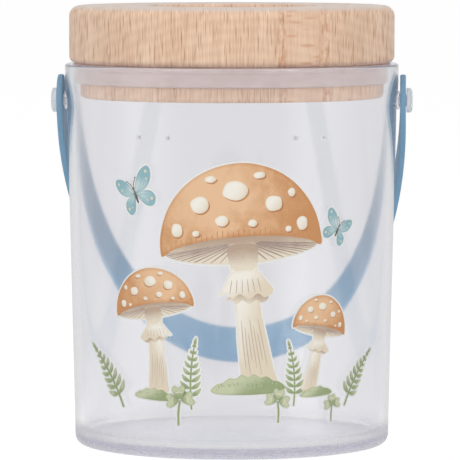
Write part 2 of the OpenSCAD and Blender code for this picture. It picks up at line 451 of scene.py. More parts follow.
@dataclass(frozen=True)
class SealRubber:
    """Translucent silicone."""

    name: str = "seal_silicone"
    body: Colour = srgb(204, 186, 180)
    milky: Colour = srgb(211, 195, 190)

    def material(self) -> bpy.types.Material:
        """Builds the material."""
        bench = material_bench(self.name)
        place = bench.place()
        clouds = bench.noise(place, (5.0, 5.0, 2.0))
        skin = bench.noise(place, 0.4)
        return bench.finish(bench.surface({
            "Base Color": bench.mix(clouds.step(0.3, 0.7), self.body, self.milky),
            "Roughness": 0.42 + skin * 0.16,
            "Subsurface Weight": 0.35,
            "Subsurface Radius": (1.0, 0.8, 0.8),
            "Subsurface Scale": 1.5 * MM,
            "Normal": bench.bump(skin, 0.3, 0.02 * MM),
        }))


@dataclass(frozen=True)
class Ink:
    """Printed watercolour ink: two tones that flow into each other, a darker edge and paper grain."""

    pale: Colour
    deep: Colour
    # Share of the deeper tone that gathers at the outline, and its width in millimetres
    edge: float = 0.35
    edge_width: float = 1.0
    # How far the clouds of colour move the tone
    cloud: float = 0.9

    def material(self, name: str) -> bpy.types.Material:
        """Builds the material. The mesh carries rim, the distance from the outline, and tone, a gradient.

        Args:
            name: Name of the ink.

        Returns:
            The material.
        """
        bench = material_bench("ink_" + name)
        place = bench.place()
        clouds = bench.noise(place, 7.0, 3.0, 0.55, 0.6) - 0.5
        grain = bench.noise(place, 0.45, 2.0, 0.6) - 0.5
        tone = bench.attribute("tone") + clouds * self.cloud + grain * 0.35
        outline = 1 - bench.attribute("rim").step(0.0, self.edge_width)
        deep_share = (tone.step(0.1, 0.95) + outline * self.edge).smaller(1.0)
        return bench.finish(bench.surface({
            "Base Color": bench.mix(deep_share, self.pale, self.deep),
            "Roughness": 0.5 + grain * 0.2,
            "Normal": bench.bump(grain, 0.2, 0.01 * MM),
        }))


def around(loop: Sequence) -> Iterator[tuple]:
    """Each item of a closed row with the one after it."""
    return pairwise([*loop, loop[0]])


def rounded(corners: Sequence[Corner], closed: bool = False) -> list[Point]:
    """Draws a section through corners, each with its own rounding.

    Args:
        corners: Radius, height and rounding of each corner, in order.
        closed: Whether the last corner joins the first one.

    Returns:
        The points of the section.
    """
    points: list[Point] = []
    count = len(corners)
    for index, (x, y, radius) in enumerate(corners):
        is_end = not closed and index in (0, count - 1)
        if radius == 0 or is_end:
            points.append((x, y))
            continue
        here = Vector((x, y))
        back = Vector(corners[index - 1][:2]) - here
        ahead = Vector(corners[(index + 1) % count][:2]) - here
        half_angle = back.angle(ahead) / 2
        # Two neighbours share an edge, so neither takes quite half of it
        reach = min(radius / math.tan(half_angle), 0.49 * back.length, 0.49 * ahead.length)
        radius = reach * math.tan(half_angle)
        inward = (back.normalized() + ahead.normalized()).normalized()
        centre = here + inward * (radius / math.sin(half_angle))
        start = here + back.normalized() * reach - centre
        turn = start.angle_signed(here + ahead.normalized() * reach - centre)
        steps = max(4, math.ceil(abs(turn) / ROUNDING_STEP))
        for step in range(steps + 1):
            angle = -turn * step / steps
            cosine, sine = math.cos(angle), math.sin(angle)
            spoke = Vector((start.x * cosine - start.y * sine, start.x * sine + start.y * cosine))
            points.append(tuple(centre + spoke))
    return points


def new_object(name: str, points: Sequence[Sequence[float]], faces: Sequence[Sequence[int]],
               is_solid: bool = True) -> bpy.types.Object:
    """Makes a mesh object with smooth faces that point outwards.

    Args:
        name: Name of the object.
        points: Its points in metres.
        faces: Its faces as point numbers.
        is_solid: Whether it encloses a space; the faces of an open sheet keep their direction.

    Returns:
        The object, linked to the scene.
    """
    mesh = bpy.data.meshes.new(name)
    mesh.from_pydata(points, [], faces)
    mesh.validate()
    if is_solid:
        tidy = bmesh.new()
        tidy.from_mesh(mesh)
        bmesh.ops.recalc_face_normals(tidy, faces=tidy.faces)
        tidy.to_mesh(mesh)
        tidy.free()
    made = bpy.data.objects.new(name, mesh)
    bpy.context.scene.collection.objects.link(made)
    smooth(made)
    return made


def smooth(made: bpy.types.Object) -> None:
    """Shades an object smooth, with hard lines where its faces meet sharply."""
    made.data.shade_smooth()
    made.data.set_sharp_from_angle(angle=SHARP_ANGLE)


def turned(name: str, section: Sequence[Point], closed: bool = False,
           segments: int = 360) -> bpy.types.Object:
    """Turns a section about the Z axis, as on a lathe.

    Args:
        name: Name of the object.
        section: Points as radius and height, in metres.
        closed: Whether the section is a loop, as for a ring; otherwise it starts and ends on the axis.
        segments: Number of steps round the axis.

    Returns:
        The turned object.
    """
    points: list[tuple[float, float, float]] = []
    rings: list[list[int]] = []
    for radius, height in section:
        count = 1 if radius == 0 else segments
        rings.append([len(points) + step for step in range(count)])
        for step in range(count):
            angle = 2 * math.pi * step / segments
            points.append((radius * math.cos(angle), radius * math.sin(angle), height))
    faces = []
    for low, high in around(rings) if closed else pairwise(rings):
        for step in range(segments):
            after = (step + 1) % segments
            corners = ((low, step), (low, after), (high, after), (high, step))
            # A ring on the axis is one point, which leaves a triangle or nothing
            face = list(dict.fromkeys(ring[place % len(ring)] for ring, place in corners))
            if len(face) > 2:
                faces.append(face)
    return new_object(name, points, faces)


def combine(base: bpy.types.Object, tool: bpy.types.Object, cut: Cut) -> None:
    """Adds a solid to another, or removes it, and deletes the tool.

    Args:
        base: The object that stays.
        tool: The solid that is added or removed.
        cut: What happens with it.
    """
    step = base.modifiers.new(cut.name.lower(), "BOOLEAN")
    step.operation = cut.value
    step.solver = "EXACT"
    step.object = tool
    graph = bpy.context.evaluated_depsgraph_get()
    result = bpy.data.meshes.new_from_object(base.evaluated_get(graph))
    base.modifiers.clear()
    old = base.data
    base.data = result
    bpy.data.meshes.remove(old)
    bpy.data.objects.remove(tool)
    smooth(base)


def place_piece(piece: bpy.types.Object, material: bpy.types.Material, body: Body,
                node: str | None = None) -> None:
    """Dresses a piece and hands it to its body.

    Args:
        piece: The finished mesh, in place.
        material: Its finish.
        body: The body that carries it.
        node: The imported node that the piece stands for, if it does.
    """
    piece.data.materials.clear()
    piece.data.materials.append(material)
    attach(piece, body.value)
    if node:
        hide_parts(node)
    log.info("%s: %d faces, rides on %s", piece.name, len(piece.data.polygons), body.value)


def side_matrix(side: int, out: float, height: float) -> Matrix:
    """Turns the Z axis to point out of the left side, -1, or the right side, 1, at a distance and height."""
    return Matrix.Translation((side * out, 0, height)) @ Matrix.Rotation(side * math.pi / 2, 4, "Y")


@dataclass
class JarBody:
    """The clear jar: foot ring, raised floor, drafted wall, collar, rim and the two pivot studs."""

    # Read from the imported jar
    height: float = field(default_factory=lambda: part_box("jar_body")[1].z)
    collar_radius: float = field(default_factory=lambda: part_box("jar_body")[1].y)
    cap_face: float = field(default_factory=lambda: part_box("jar_body")[1].x)
    wall: float = 2.7 * MM
    wall_draft: float = 2.7 * MM
    collar_height: float = 11.0 * MM
    collar_step: float = 0.55 * MM
    rim_rounding: float = 0.8 * MM
    mouth_rounding: float = 0.7 * MM
    wall_start: float = 5.0 * MM
    base_rounding: float = 3.0 * MM
    floor_height: float = 3.5 * MM
    floor_thickness: float = 2.7 * MM
    floor_rounding: float = 4.3 * MM
    foot_width: float = 4.6 * MM
    # Soft fillets that the drawing leaves sharp
    foot_fillet: float = 0.5 * MM
    recess_fillet: float = 1.2 * MM
    # Height on each side of the collar's start over which the wall swells, and the rounding there
    collar_swell: float = 3.0 * MM
    blend_fillet: float = 60.0 * MM
    # Vestige of the moulding gate under the floor
    gate_radius: float = 1.6 * MM
    gate_depth: float = 0.15 * MM
    pivot_drop: float = 12.6 * MM
    boss_radius: float = 3.1 * MM
    boss_reach: float = 0.35 * MM
    stud_radius: float = 2.2 * MM
    bore_radius: float = 1.14 * MM
    bore_depth: float = 3.05 * MM
    edge_break: float = 0.15 * MM

    @property
    def collar_level(self) -> float:
        """Height at which the collar starts."""
        return self.height - self.collar_height

    @property
    def pivot_height(self) -> float:
        """Height of the pivot axis."""
        return self.height - self.pivot_drop

    def wall_radius(self, height: float) -> float:
        """Outer radius of the drafted wall at a height, both in metres."""
        share = (height - self.wall_start) / (self.collar_level - self.wall_start)
        return self.collar_radius - self.collar_step - self.wall_draft * (1 - share)

    def wall_at(self, height: float) -> float:
        """Outer radius of the drafted wall at a height, both in millimetres."""
        return self.wall_radius(height * MM) / MM

    def section(self) -> list[Point]:
        """The jar's half section, from under the floor out, up, in and down to the floor."""
        recess = self.floor_height - self.floor_thickness
        foot = self.wall_radius(self.base_rounding) - self.base_rounding - self.foot_width
        mouth = self.collar_radius - self.wall
        low, high = self.collar_level - self.collar_swell, self.collar_level + self.collar_swell
        return rounded([
            (0, recess + self.gate_depth, 0),
            (self.gate_radius, recess + self.gate_depth, self.gate_depth / 2),
            (self.gate_radius + self.gate_depth, recess, self.gate_depth / 2),
            (foot - recess, recess, self.recess_fillet),
            (foot, 0, self.foot_fillet),
            (self.wall_radius(0), 0, self.base_rounding),
            (self.wall_radius(low), low, self.blend_fillet),
            (self.collar_radius, high, self.blend_fillet),
            (self.collar_radius, self.height, self.rim_rounding),
            (mouth, self.height, self.mouth_rounding),
            (mouth, high, self.blend_fillet),
            (self.wall_radius(low) - self.wall, low, self.blend_fillet),
            (self.wall_radius(self.floor_height) - self.wall, self.floor_height, self.floor_rounding),
            (0, self.floor_height, 0),
        ])

    def pivot(self, side: int) -> bpy.types.Object:
        """A boss with its stud, as a solid that starts inside the wall.

        Args:
            side: -1 for the left one, 1 for the right one.

        Returns:
            The solid, in place.
        """
        root = self.collar_radius - self.wall / 2
        boss_face = self.collar_radius + self.boss_reach
        bore_floor = self.cap_face - self.bore_depth
        solid = turned("pivot_stud", rounded([
            (0, root, 0),
            (self.boss_radius, root, 0),
            (self.boss_radius, boss_face, self.edge_break),
            (self.stud_radius, boss_face, self.edge_break),
            (self.stud_radius, self.cap_face, self.edge_break),
            (self.bore_radius, self.cap_face, self.edge_break / 2),
            (self.bore_radius, bore_floor, 0),
            (0, bore_floor, 0),
        ]), segments=96)
        solid.data.transform(side_matrix(side, 0.0, self.pivot_height))
        return solid

    def make(self, finish: ClearPlastic) -> None:
        """Builds the jar and hands it to its body.

        Args:
            finish: The plastic.
        """
        jar = turned("jar_clear_body", self.section())
        for side in (-1, 1):
            combine(jar, self.pivot(side), Cut.ADD)
        place_piece(jar, finish.material(), Body.JAR, "jar_body")


@dataclass
class PivotCaps:
    """The two headed caps that keep the strap on its studs."""

    face: float
    height: float
    radius: float = field(default_factory=lambda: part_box("pivot_cap_left")[1].y)
    head: float = 1.1 * MM
    # Height and width of the rounded shoulder round the flat face, and points on it
    dome: float = 0.95 * MM
    shoulder: float = 1.7 * MM
    shoulder_steps: int = 12
    # Radius of a ring of points on the flat face, as a share of the cap's
    face_share: float = 0.25
    edge: float = 0.3 * MM
    pin_radius: float = 1.05 * MM
    pin_length: float = 2.95 * MM

    def section(self) -> list[Point]:
        """The cap's half section from the pin's end to the top of its dome."""
        below = rounded([
            (0, -self.pin_length, 0),
            (self.pin_radius, -self.pin_length, self.edge),
            (self.pin_radius, 0, 0),
            (self.radius, 0, self.edge),
            (self.radius, self.head, 0),
        ])
        turns = [math.pi / 2 * step / self.shoulder_steps for step in range(1, self.shoulder_steps + 1)]
        shoulder = [
            (self.radius - self.shoulder * (1 - math.cos(turn)), self.head + self.dome * math.sin(turn))
            for turn in turns
        ]
        top = self.head + self.dome
        return below + shoulder + [(self.radius * self.face_share, top), (0, top)]

    def make(self, finish: ClearPlastic) -> None:
        """Builds both caps.

        Args:
            finish: Their plastic.
        """
        material = finish.material()
        for side, name in ((-1, "left"), (1, "right")):
            cap = turned(f"cap_{name}", self.section(), segments=128)
            cap.data.transform(side_matrix(side, self.face, self.height))
            place_piece(cap, material, Body.JAR, f"pivot_cap_{name}")


def inside(point: Vector, loop: Sequence[Vector]) -> bool:
    """Whether a point lies inside a closed outline.

    Args:
        point: The point.
        loop: The outline's points in order.

    Returns:
        True if it does.
    """
    x, y = point
    odd = False
    for (ax, ay), (bx, by) in around(loop):
        if (ay > y) != (by > y) and x < ax + (y - ay) / (by - ay) * (bx - ax):
            odd = not odd
    return odd


def rim_distance(point: Vector, loop: Sequence[Vector]) -> float:
    """Distance of a point from a closed outline.

    Args:
        point: The point.
        loop: The outline's points in order.

    Returns:
        The least distance.
    """
    best = math.inf
    for start, end in around(loop):
        run = end - start
        share = min(1.0, max(0.0, (point - start).dot(run) / max(run.length_squared, TINY ** 2)))
        best = min(best, (point - start - run * share).length_squared)
    return math.sqrt(best)


def triangles(points: Sequence[Vector], loops: Sequence[Sequence[int]],
              keep: Callable[[Vector], bool]) -> Net:
    """Fills an area with triangles between given points.

    Args:
        points: All points, in millimetres.
        loops: Closed outlines as point numbers.
        keep: Tells whether a triangle with this middle belongs to the area.

    Returns:
        The points as used, and the triangles.
    """
    edges = [pair for loop in loops for pair in around(loop)]
    made = geometry.delaunay_2d_cdt(list(points), edges, [], 0, 1e-5)
    used, faces = made[0], made[2]
    kept = [face for face in faces if keep(sum((used[i] for i in face), Vector((0, 0))) / len(face))]
    return list(used), kept


@dataclass
class HandleStrap:
    """The strap: a flat band bent into a bail, with round ends, eased edges and a hole at each end.

    Lengths here are in millimetres, because the band is laid out flat before it is bent.
    """

    pivot_height: float
    wall_foot_radius: float
    wall_at: Callable[[float], float]
    outer_face: float = field(default_factory=lambda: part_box("handle_strap")[1].x / MM)
    width: float = 17.6
    thickness: float = 2.0
    drop: float = 110.7
    rest_gap: float = 0.45
    straight: float = 5.0
    hole_radius: float = 2.28
    # How far each side keeps its direction before it bends, as shares of the drop
    side_shares: Point = (0.434, 0.54)
    end_shares: Point = (0.348, 0.328)
    curve_steps: int = 220
    # Rounding of the outline and of the holes' edges, and where rows of points follow it, as shares
    edge_radius: float = 0.6
    edge_rows: Sequence[float] = (0, 0.08, 0.3, 0.62, 1.0)
    hole_edge: float = 0.3
    hole_rows: Sequence[float] = (0, 0.1, 0.45, 1.0)
    hole_steps: int = 40
    # Grid of points between the edges: its rows and columns, and half circles round the holes
    grid_rows: int = 7
    grid_spacing: float = 1.6
    hole_margin: float = 0.8
    arc_radii: Point = (4.2, 6.0)
    arc_steps: int = 24

    def lean(self) -> float:
        """Angle in radians from hanging straight down to resting on the jar's back."""
        inner_drop = self.drop - self.thickness
        reach = math.hypot(inner_drop, self.width / 2)
        corner = math.atan2(self.width / 2, inner_drop)
        first = math.asin((self.wall_foot_radius + self.rest_gap) / reach)
        touch = self.pivot_height - reach * math.cos(first)
        return corner + math.asin((self.wall_at(touch) + self.rest_gap) / reach)

    def middle_line(self) -> list[Vector]:
        """The band's middle line from the left pivot round to the right one."""
        half_gap = self.outer_face - self.thickness / 2
        far = -(self.drop - self.thickness / 2)
        halves = []
        for side, side_share, end_share in zip((-1, 1), self.side_shares, self.end_shares):
            controls = [
                Vector((side * half_gap, -self.straight)),
                Vector((side * half_gap, -self.straight - side_share * self.drop)),
                Vector((side * end_share * self.drop, far)),
                Vector((0, far)),
            ]
            halves.append([cubic(controls, step / self.curve_steps) for step in range(self.curve_steps + 1)])
        left, right = halves
        return [Vector((-half_gap, 0)), *left, *reversed(right[:-1]), Vector((half_gap, 0))]

    def flat_points(self, length: float) -> tuple[list[Vector], list[list[int]]]:
        """Points of the flat band: rows along its outline and holes, and a grid inside.

        Args:
            length: Distance between the two holes.

        Returns:
            The points, and the outline and the holes as point numbers.
        """
        half_width = self.width / 2
        rows = [stadium(half_width - self.edge_radius * share, length) for share in self.edge_rows]
        starts = [0]
        for centre in (0.0, length):
            starts.append(len(rows))
            rows += [circle(Vector((centre, 0)), self.hole_radius + share * self.hole_edge, self.hole_steps)
                     for share in self.hole_rows]
        points: list[Vector] = []
        loops: list[list[int]] = []
        for index, row in enumerate(rows):
            if index in starts:
                loops.append(list(range(len(points), len(points) + len(row))))
            points.extend(row)
        inner = half_width - self.edge_radius
        columns = int(length / self.grid_spacing)
        for column in range(1, columns):
            for row in range(1, self.grid_rows):
                spot = Vector((length * column / columns, inner * (2 * row / self.grid_rows - 1)))
                from_hole = min(spot.length, (spot - Vector((length, 0))).length)
                if from_hole > self.hole_radius + self.hole_margin:
                    points.append(spot)
        for centre, sign in ((0.0, -1), (length, 1)):
            for radius in self.arc_radii:
                arc = circle(Vector((centre, 0)), radius, self.arc_steps)
                points.extend(spot for spot in arc if sign * (spot.x - centre) > self.hole_margin)
        return points, loops

    def make(self, finish: MatteStrap) -> None:
        """Builds the strap in its resting place.

        Args:
            finish: Its material.
        """
        line = self.middle_line()
        lengths = [0.0]
        for start, end in pairwise(line):
            lengths.append(lengths[-1] + (end - start).length)
        length = lengths[-1]
        points, loops = self.flat_points(length)
        ends = (Vector((0, 0)), Vector((length, 0)))

        def to_outline(spot: Vector) -> float:
            """Distance inwards from the band's outline."""
            on_axis = Vector((min(max(spot.x, 0.0), length), 0))
            return self.width / 2 - (spot - on_axis).length

        def to_hole(spot: Vector) -> float:
            """Distance outwards from the nearer hole."""
            return min((spot - end).length for end in ends) - self.hole_radius

        used, faces = triangles(points, loops, lambda spot: to_outline(spot) > 0 and to_hole(spot) > 0)
        heights = [min(eased(to_outline(spot), self.edge_radius, self.thickness / 2),
                       eased(to_hole(spot), self.hole_edge, self.thickness / 2)) for spot in used]
        bent = BentLine(line, lengths)
        turn = Matrix.Rotation(math.pi / 2 + self.lean(), 3, "X")
        lift = Vector((0, 0, self.pivot_height))
        verts = []
        for sign in (1, -1):
            for spot, height in zip(used, heights):
                place, outward = bent.at(spot.x)
                flat = place + outward * (sign * height)
                verts.append((turn @ Vector((flat.x, flat.y, spot.y)) + lift) * MM)
        count = len(used)
        shell = [tuple(face) for face in faces] + [tuple(i + count for i in reversed(face)) for face in faces]
        # An edge that only one triangle has lies on the border, where the two sides are joined
        uses = Counter(tuple(sorted(pair)) for face in faces for pair in around(face))
        shell += [(a, b, b + count, a + count) for (a, b), number in uses.items() if number == 1]
        strap = new_object("strap_handle", verts, shell)
        write_attribute(strap, "rim", [min(to_outline(spot), to_hole(spot)) for spot in used] * 2)
        place_piece(strap, finish.material(), Body.HANDLE, "handle_strap")


@dataclass(frozen=True)
class BentLine:
    """A line through points, read by the distance along it."""

    points: Sequence[Vector]
    lengths: Sequence[float]

    def at(self, distance: float) -> tuple[Vector, Vector]:
        """Place and outward direction at a distance along the line, which runs on straight past its ends.

        Args:
            distance: Distance from the first point.

        Returns:
            The place, and the unit direction to the right of the line.
        """
        index = 0
        while index < len(self.points) - 2 and self.lengths[index + 1] < distance:
            index += 1
        start, end = self.points[index], self.points[index + 1]
        run = (end - start).normalized()
        before = self.points[max(index - 1, 0)]
        after = self.points[min(index + 2, len(self.points) - 1)]
        share = (distance - self.lengths[index]) / (self.lengths[index + 1] - self.lengths[index])
        first_run = (end - before).normalized()
        last_run = (after - start).normalized()
        heading = first_run.lerp(last_run, min(1.0, max(0.0, share))).normalized()
        return start + run * (distance - self.lengths[index]), Vector((heading.y, -heading.x))


def cubic(controls: Sequence[Vector], share: float) -> Vector:
    """Point of a cubic curve.

    Args:
        controls: Its four control points.
        share: Place along it, from 0 to 1.

    Returns:
        The point.
    """
    rest = 1 - share
    weights = (rest ** 3, 3 * rest ** 2 * share, 3 * rest * share ** 2, share ** 3)
    return sum((control * weight for control, weight in zip(controls, weights)), Vector((0, 0)))


def eased(distance: float, radius: float, half: float) -> float:
    """Half thickness of a plate with a rounded edge.

    Args:
        distance: Distance inwards from the edge.
        radius: Radius of the rounding.
        half: Half of the plate's full thickness.

    Returns:
        The half thickness there.
    """
    if distance >= radius:
        return half
    short = radius - max(distance, 0.0)
    return half - radius + math.sqrt(max(radius ** 2 - short ** 2, 0.0))


def circle(centre: Vector, radius: float, count: int) -> list[Vector]:
    """Evenly spaced points of a circle."""
    turns = (2 * math.pi * step / count for step in range(count))
    return [centre + radius * Vector((math.cos(turn), math.sin(turn))) for turn in turns]


def stadium(radius: float, length: float, arc_steps: int = 36, spacing: float = 1.5) -> list[Vector]:
    """Points of a band's outline with half circles at both ends.

    Args:
        radius: Radius of the ends, half the band's width.
        length: Distance between the centres of the ends.
        arc_steps: Number of steps round each end.
        spacing: Greatest distance between the points of the sides.

    Returns:
        The points in order.
    """
    side_steps = int(length / spacing)
    points = []
    for centre, start in ((length, -math.pi / 2), (0.0, math.pi / 2)):
        for step in range(arc_steps + 1):
            turn = start + math.pi * step / arc_steps
            points.append(Vector((centre + radius * math.cos(turn), radius * math.sin(turn))))
        sign = 1 if centre else -1
        for step in range(1, side_steps):
            along = length * step / side_steps
            points.append(Vector((length - along if centre else along, sign * radius)))
    return points


def write_attribute(piece: bpy.types.Object, name: str, values: Sequence[float]) -> None:
    """Stores a number at each point of a mesh."""
    layer = piece.data.attributes.new(name, "FLOAT", "POINT")
    layer.data.foreach_set("value", list(values))


class Pigment(Enum):
    """The inks of the print."""

    WHITE = Ink(srgb(240, 240, 238), srgb(232, 232, 231), edge=0.0, cloud=0.4)
    RUSSET = Ink(srgb(231, 190, 150), srgb(199, 140, 88), edge=0.4, edge_width=1.3)
    EMBER = Ink(srgb(205, 150, 104), srgb(170, 106, 62), edge=0.0)
    CREAM = Ink(srgb(243, 238, 227), srgb(226, 213, 190), edge=0.3, cloud=0.5)
    SHADE = Ink(srgb(231, 220, 200), srgb(184, 160, 140), edge=0.0, cloud=0.5)
    TAUPE = Ink(srgb(203, 186, 172), srgb(158, 136, 126), edge=0.2)
    UMBER = Ink(srgb(138, 118, 108), srgb(98, 82, 76), edge=0.2)
    TEAL = Ink(srgb(198, 216, 217), srgb(141, 180, 189), edge=0.5, edge_width=0.7)
    SAGE = Ink(srgb(199, 205, 172), srgb(148, 163, 118), edge=0.35, edge_width=0.6)


@dataclass(frozen=True)
class Shade:
    """A gradient of tone: 0 at one place, 1 at another, along a line or outwards in circles."""

    start: Vector
    end: Vector
    circular: bool = False

    def at(self, spot: Vector) -> float:
        """The tone at a place.

        Args:
            spot: The place.

        Returns:
            The tone, from 0 to 1.
        """
        run = self.end - self.start
        reach = max(run.length, TINY)
        away = spot - self.start
        share = away.length / reach if self.circular else away.dot(run) / reach ** 2
        return min(1.0, max(0.0, share))


@dataclass(frozen=True)
class Patch:
    """One flat area of ink on the unrolled front of the jar, in millimetres."""

    pigment: Pigment
    outline: Sequence[Vector]
    # Order in which the inks lie on each other
    layer: int
    shade: Shade
    # Whether white ink lies under it, a little wider
    backed: bool = False

    def inner_points(self, spacing: float) -> list[Vector]:
        """Points inside the outline: a row along it and a grid.

        Args:
            spacing: Distance between the grid's points.

        Returns:
            The points.
        """
        spots = [spot for spot in grown(self.outline, -spacing * 0.45)
                 if inside(spot, self.outline) and rim_distance(spot, self.outline) > spacing * 0.4]
        low, high = extent(self.outline)
        counts = [int((most - least) / spacing) + 1 for least, most in zip(low, high)]
        spots += [spot for spot in grid(low, counts, spacing, (0.75, 0.25))
                  if inside(spot, self.outline) and rim_distance(spot, self.outline) > spacing * 0.8]
        return spots


def extent(spots: Sequence[Sequence[float]]) -> tuple[Point, Point]:
    """Low and high corner of the box round some flat points."""
    columns = list(zip(*spots))
    return tuple(map(min, columns)), tuple(map(max, columns))


def grid(low: Point, counts: Sequence[int], spacing: float, shifts: Point = (0.5, 0.5)) -> Iterator[Vector]:
    """Points of a flat grid, row by row.

    Args:
        low: Its low corner.
        counts: Number of columns and of rows.
        spacing: Distance between its points.
        shifts: How far even and odd rows are moved to the right, as shares of the spacing.

    Yields:
        The points.
    """
    for row in range(counts[1]):
        for column in range(counts[0]):
            yield Vector((low[0] + (column + shifts[row % 2]) * spacing, low[1] + (row + 0.5) * spacing))


def flowing(knots: Sequence[Vector], closed: bool, spacing: float = 0.7) -> list[Vector]:
    """Draws a smooth curve through knots.

    Args:
        knots: The points that it passes.
        closed: Whether it returns to the first one.
        spacing: Greatest distance between its points.

    Returns:
        The points of the curve.
    """
    count = len(knots)
    points: list[Vector] = []
    for index in range(count if closed else count - 1):
        places = (index + step for step in (-1, 0, 1, 2))
        before, start, end, after = (
            knots[place % count if closed else min(max(place, 0), count - 1)] for place in places)
        controls = (start, start + (end - before) / 6, end - (after - start) / 6, end)
        steps = max(2, math.ceil((end - start).length / spacing))
        points.extend(cubic(controls, step / steps) for step in range(steps))
    if not closed:
        points.append(knots[-1])
    return points


def grown(outline: Sequence[Vector], by: float) -> list[Vector]:
    """Moves every point of a closed outline outwards.

    Args:
        outline: The points, anticlockwise.
        by: Distance; a negative one moves them inwards.

    Returns:
        The moved points.
    """
    moved = []
    for index, here in enumerate(outline):
        along = (outline[(index + 1) % len(outline)] - outline[index - 1]).normalized()
        moved.append(here + Vector((along.y, -along.x)) * by)
    return moved


def anticlockwise(outline: Sequence[Vector]) -> list[Vector]:
    """A closed outline in anticlockwise order."""
    area = sum(a.x * b.y - b.x * a.y for a, b in around(outline))
    return list(outline) if area > 0 else list(reversed(outline))


@dataclass(frozen=True)
class Motif:
    """A drawing in units of its own size, with its place and tilt on the unrolled jar."""

    # Place of its origin: to the right of the front's middle and above the ground, in millimetres
    place: Point
    size: float
    # Turn to the left in degrees
    tilt: float = 0.0
    mirrored: bool = False
    lowest_layer: int = 1

    def spot(self, x: float, y: float) -> Vector:
        """Where a point of the drawing lies on the jar.

        Args:
            x: Distance to the right of the drawing's origin, as a share of its size.
            y: Distance above it.

        Returns:
            The place in millimetres.
        """
        turn = math.radians(self.tilt)
        cosine, sine = math.cos(turn), math.sin(turn)
        x = -x if self.mirrored else x
        return Vector(self.place) + self.size * Vector((x * cosine - y * sine, x * sine + y * cosine))

    def area(self, pigment: Pigment, knots: Sequence[Point], layer: int, shade: tuple[Point, Point],
             circular: bool = False, backed: bool = False) -> Patch:
        """A patch with a smooth outline.

        Args:
            pigment: Its ink.
            knots: Points that the outline passes.
            layer: Its layer within the drawing.
            shade: Where the tone is 0 and where it is 1.
            circular: Whether the tone grows in circles.
            backed: Whether white ink lies under it.

        Returns:
            The patch.
        """
        outline = anticlockwise(flowing([self.spot(*knot) for knot in knots], True))
        start, end = (self.spot(*point) for point in shade)
        return Patch(pigment, outline, self.lowest_layer + layer, Shade(start, end, circular), backed)

    def oval(self, pigment: Pigment, centre: Point, radii: Point, layer: int, shade: tuple[Point, Point],
             backed: bool = False) -> Patch:
        """A slightly uneven oval patch.

        Args:
            pigment: Its ink.
            centre: Its centre.
            radii: Its half width and half height.
            layer: Its layer within the drawing.
            shade: Where the tone is 0 and where it is 1.
            backed: Whether white ink lies under it.

        Returns:
            The patch.
        """
        knots = []
        count = 9
        (x, y), (wide, high) = centre, radii
        for step in range(count):
            turn = 2 * math.pi * step / count
            swell = 1 + 0.05 * math.sin(3.7 * step + 11 * x + 7 * y)
            knots.append((x + wide * swell * math.cos(turn), y + high * swell * math.sin(turn)))
        return self.area(pigment, knots, layer, shade, backed=backed)

    def stroke(self, pigment: Pigment, knots: Sequence[Point], width: float, layer: int,
               taper: Point = (0.25, 0.25), tone: float = 0.5, backed: bool = False) -> Patch:
        """A brush stroke along a curve.

        Args:
            pigment: Its ink.
            knots: Points that its middle line passes.
            width: Its full width as a share of the drawing's size.
            layer: Its layer within the drawing.
            taper: Width at its start and at its end, as shares of the full width.
            tone: Its tone all over.
            backed: Whether white ink lies under it.

        Returns:
            The patch.
        """
        line = flowing([self.spot(*knot) for knot in knots], False)
        count = len(line) - 1
        right, left = [], []
        for index, here in enumerate(line):
            along = (line[min(index + 1, count)] - line[max(index - 1, 0)]).normalized()
            share = index / count
            ends = taper[0] * (1 - share) + taper[1] * share
            swell = ends + (1 - ends) * math.sin(math.pi * share) ** 0.6
            aside = Vector((along.y, -along.x)) * (self.size * width * swell / 2)
            right.append(here + aside)
            left.append(here - aside)
        outline = anticlockwise(right + left[::-1])
        # A gradient far longer than the stroke gives it one tone all over
        reach = Vector((1000, 0))
        start = self.spot(0, 0) - reach * tone
        return Patch(pigment, outline, self.lowest_layer + layer, Shade(start, start + reach), backed)

    def leaf(self, pigment: Pigment, root: Point, tip: Point, width: float, layer: int,
             bend: float = 0.0) -> Patch:
        """A pointed leaf, deeper at its root.

        Args:
            pigment: Its ink.
            root: Where it grows from.
            tip: Its point.
            width: Its full width as a share of the drawing's size.
            layer: Its layer within the drawing.
            bend: How far its middle bows to the left, as a share of its length.

        Returns:
            The patch.
        """
        base, run = Vector(root), Vector(tip) - Vector(root)
        aside = Vector((-run.y, run.x))
        half = width / 2 / max(run.length, TINY)
        # Places along it and their widths, on the left side and back on the right one
        widths = ((0.0, 0.0), (0.22, 0.75), (0.5, 1.0), (0.78, 0.62), (1.0, 0.0))
        sides = [*widths, *((along, -wide) for along, wide in widths[-2:0:-1])]
        knots = [tuple(base + run * along + aside * (half * wide + bend * math.sin(math.pi * along)))
                 for along, wide in sides]
        return self.area(pigment, knots, layer, (tip, root), backed=True)

    def patches(self) -> Iterator[Patch]:
        """The patches of the drawing."""
        raise NotImplementedError


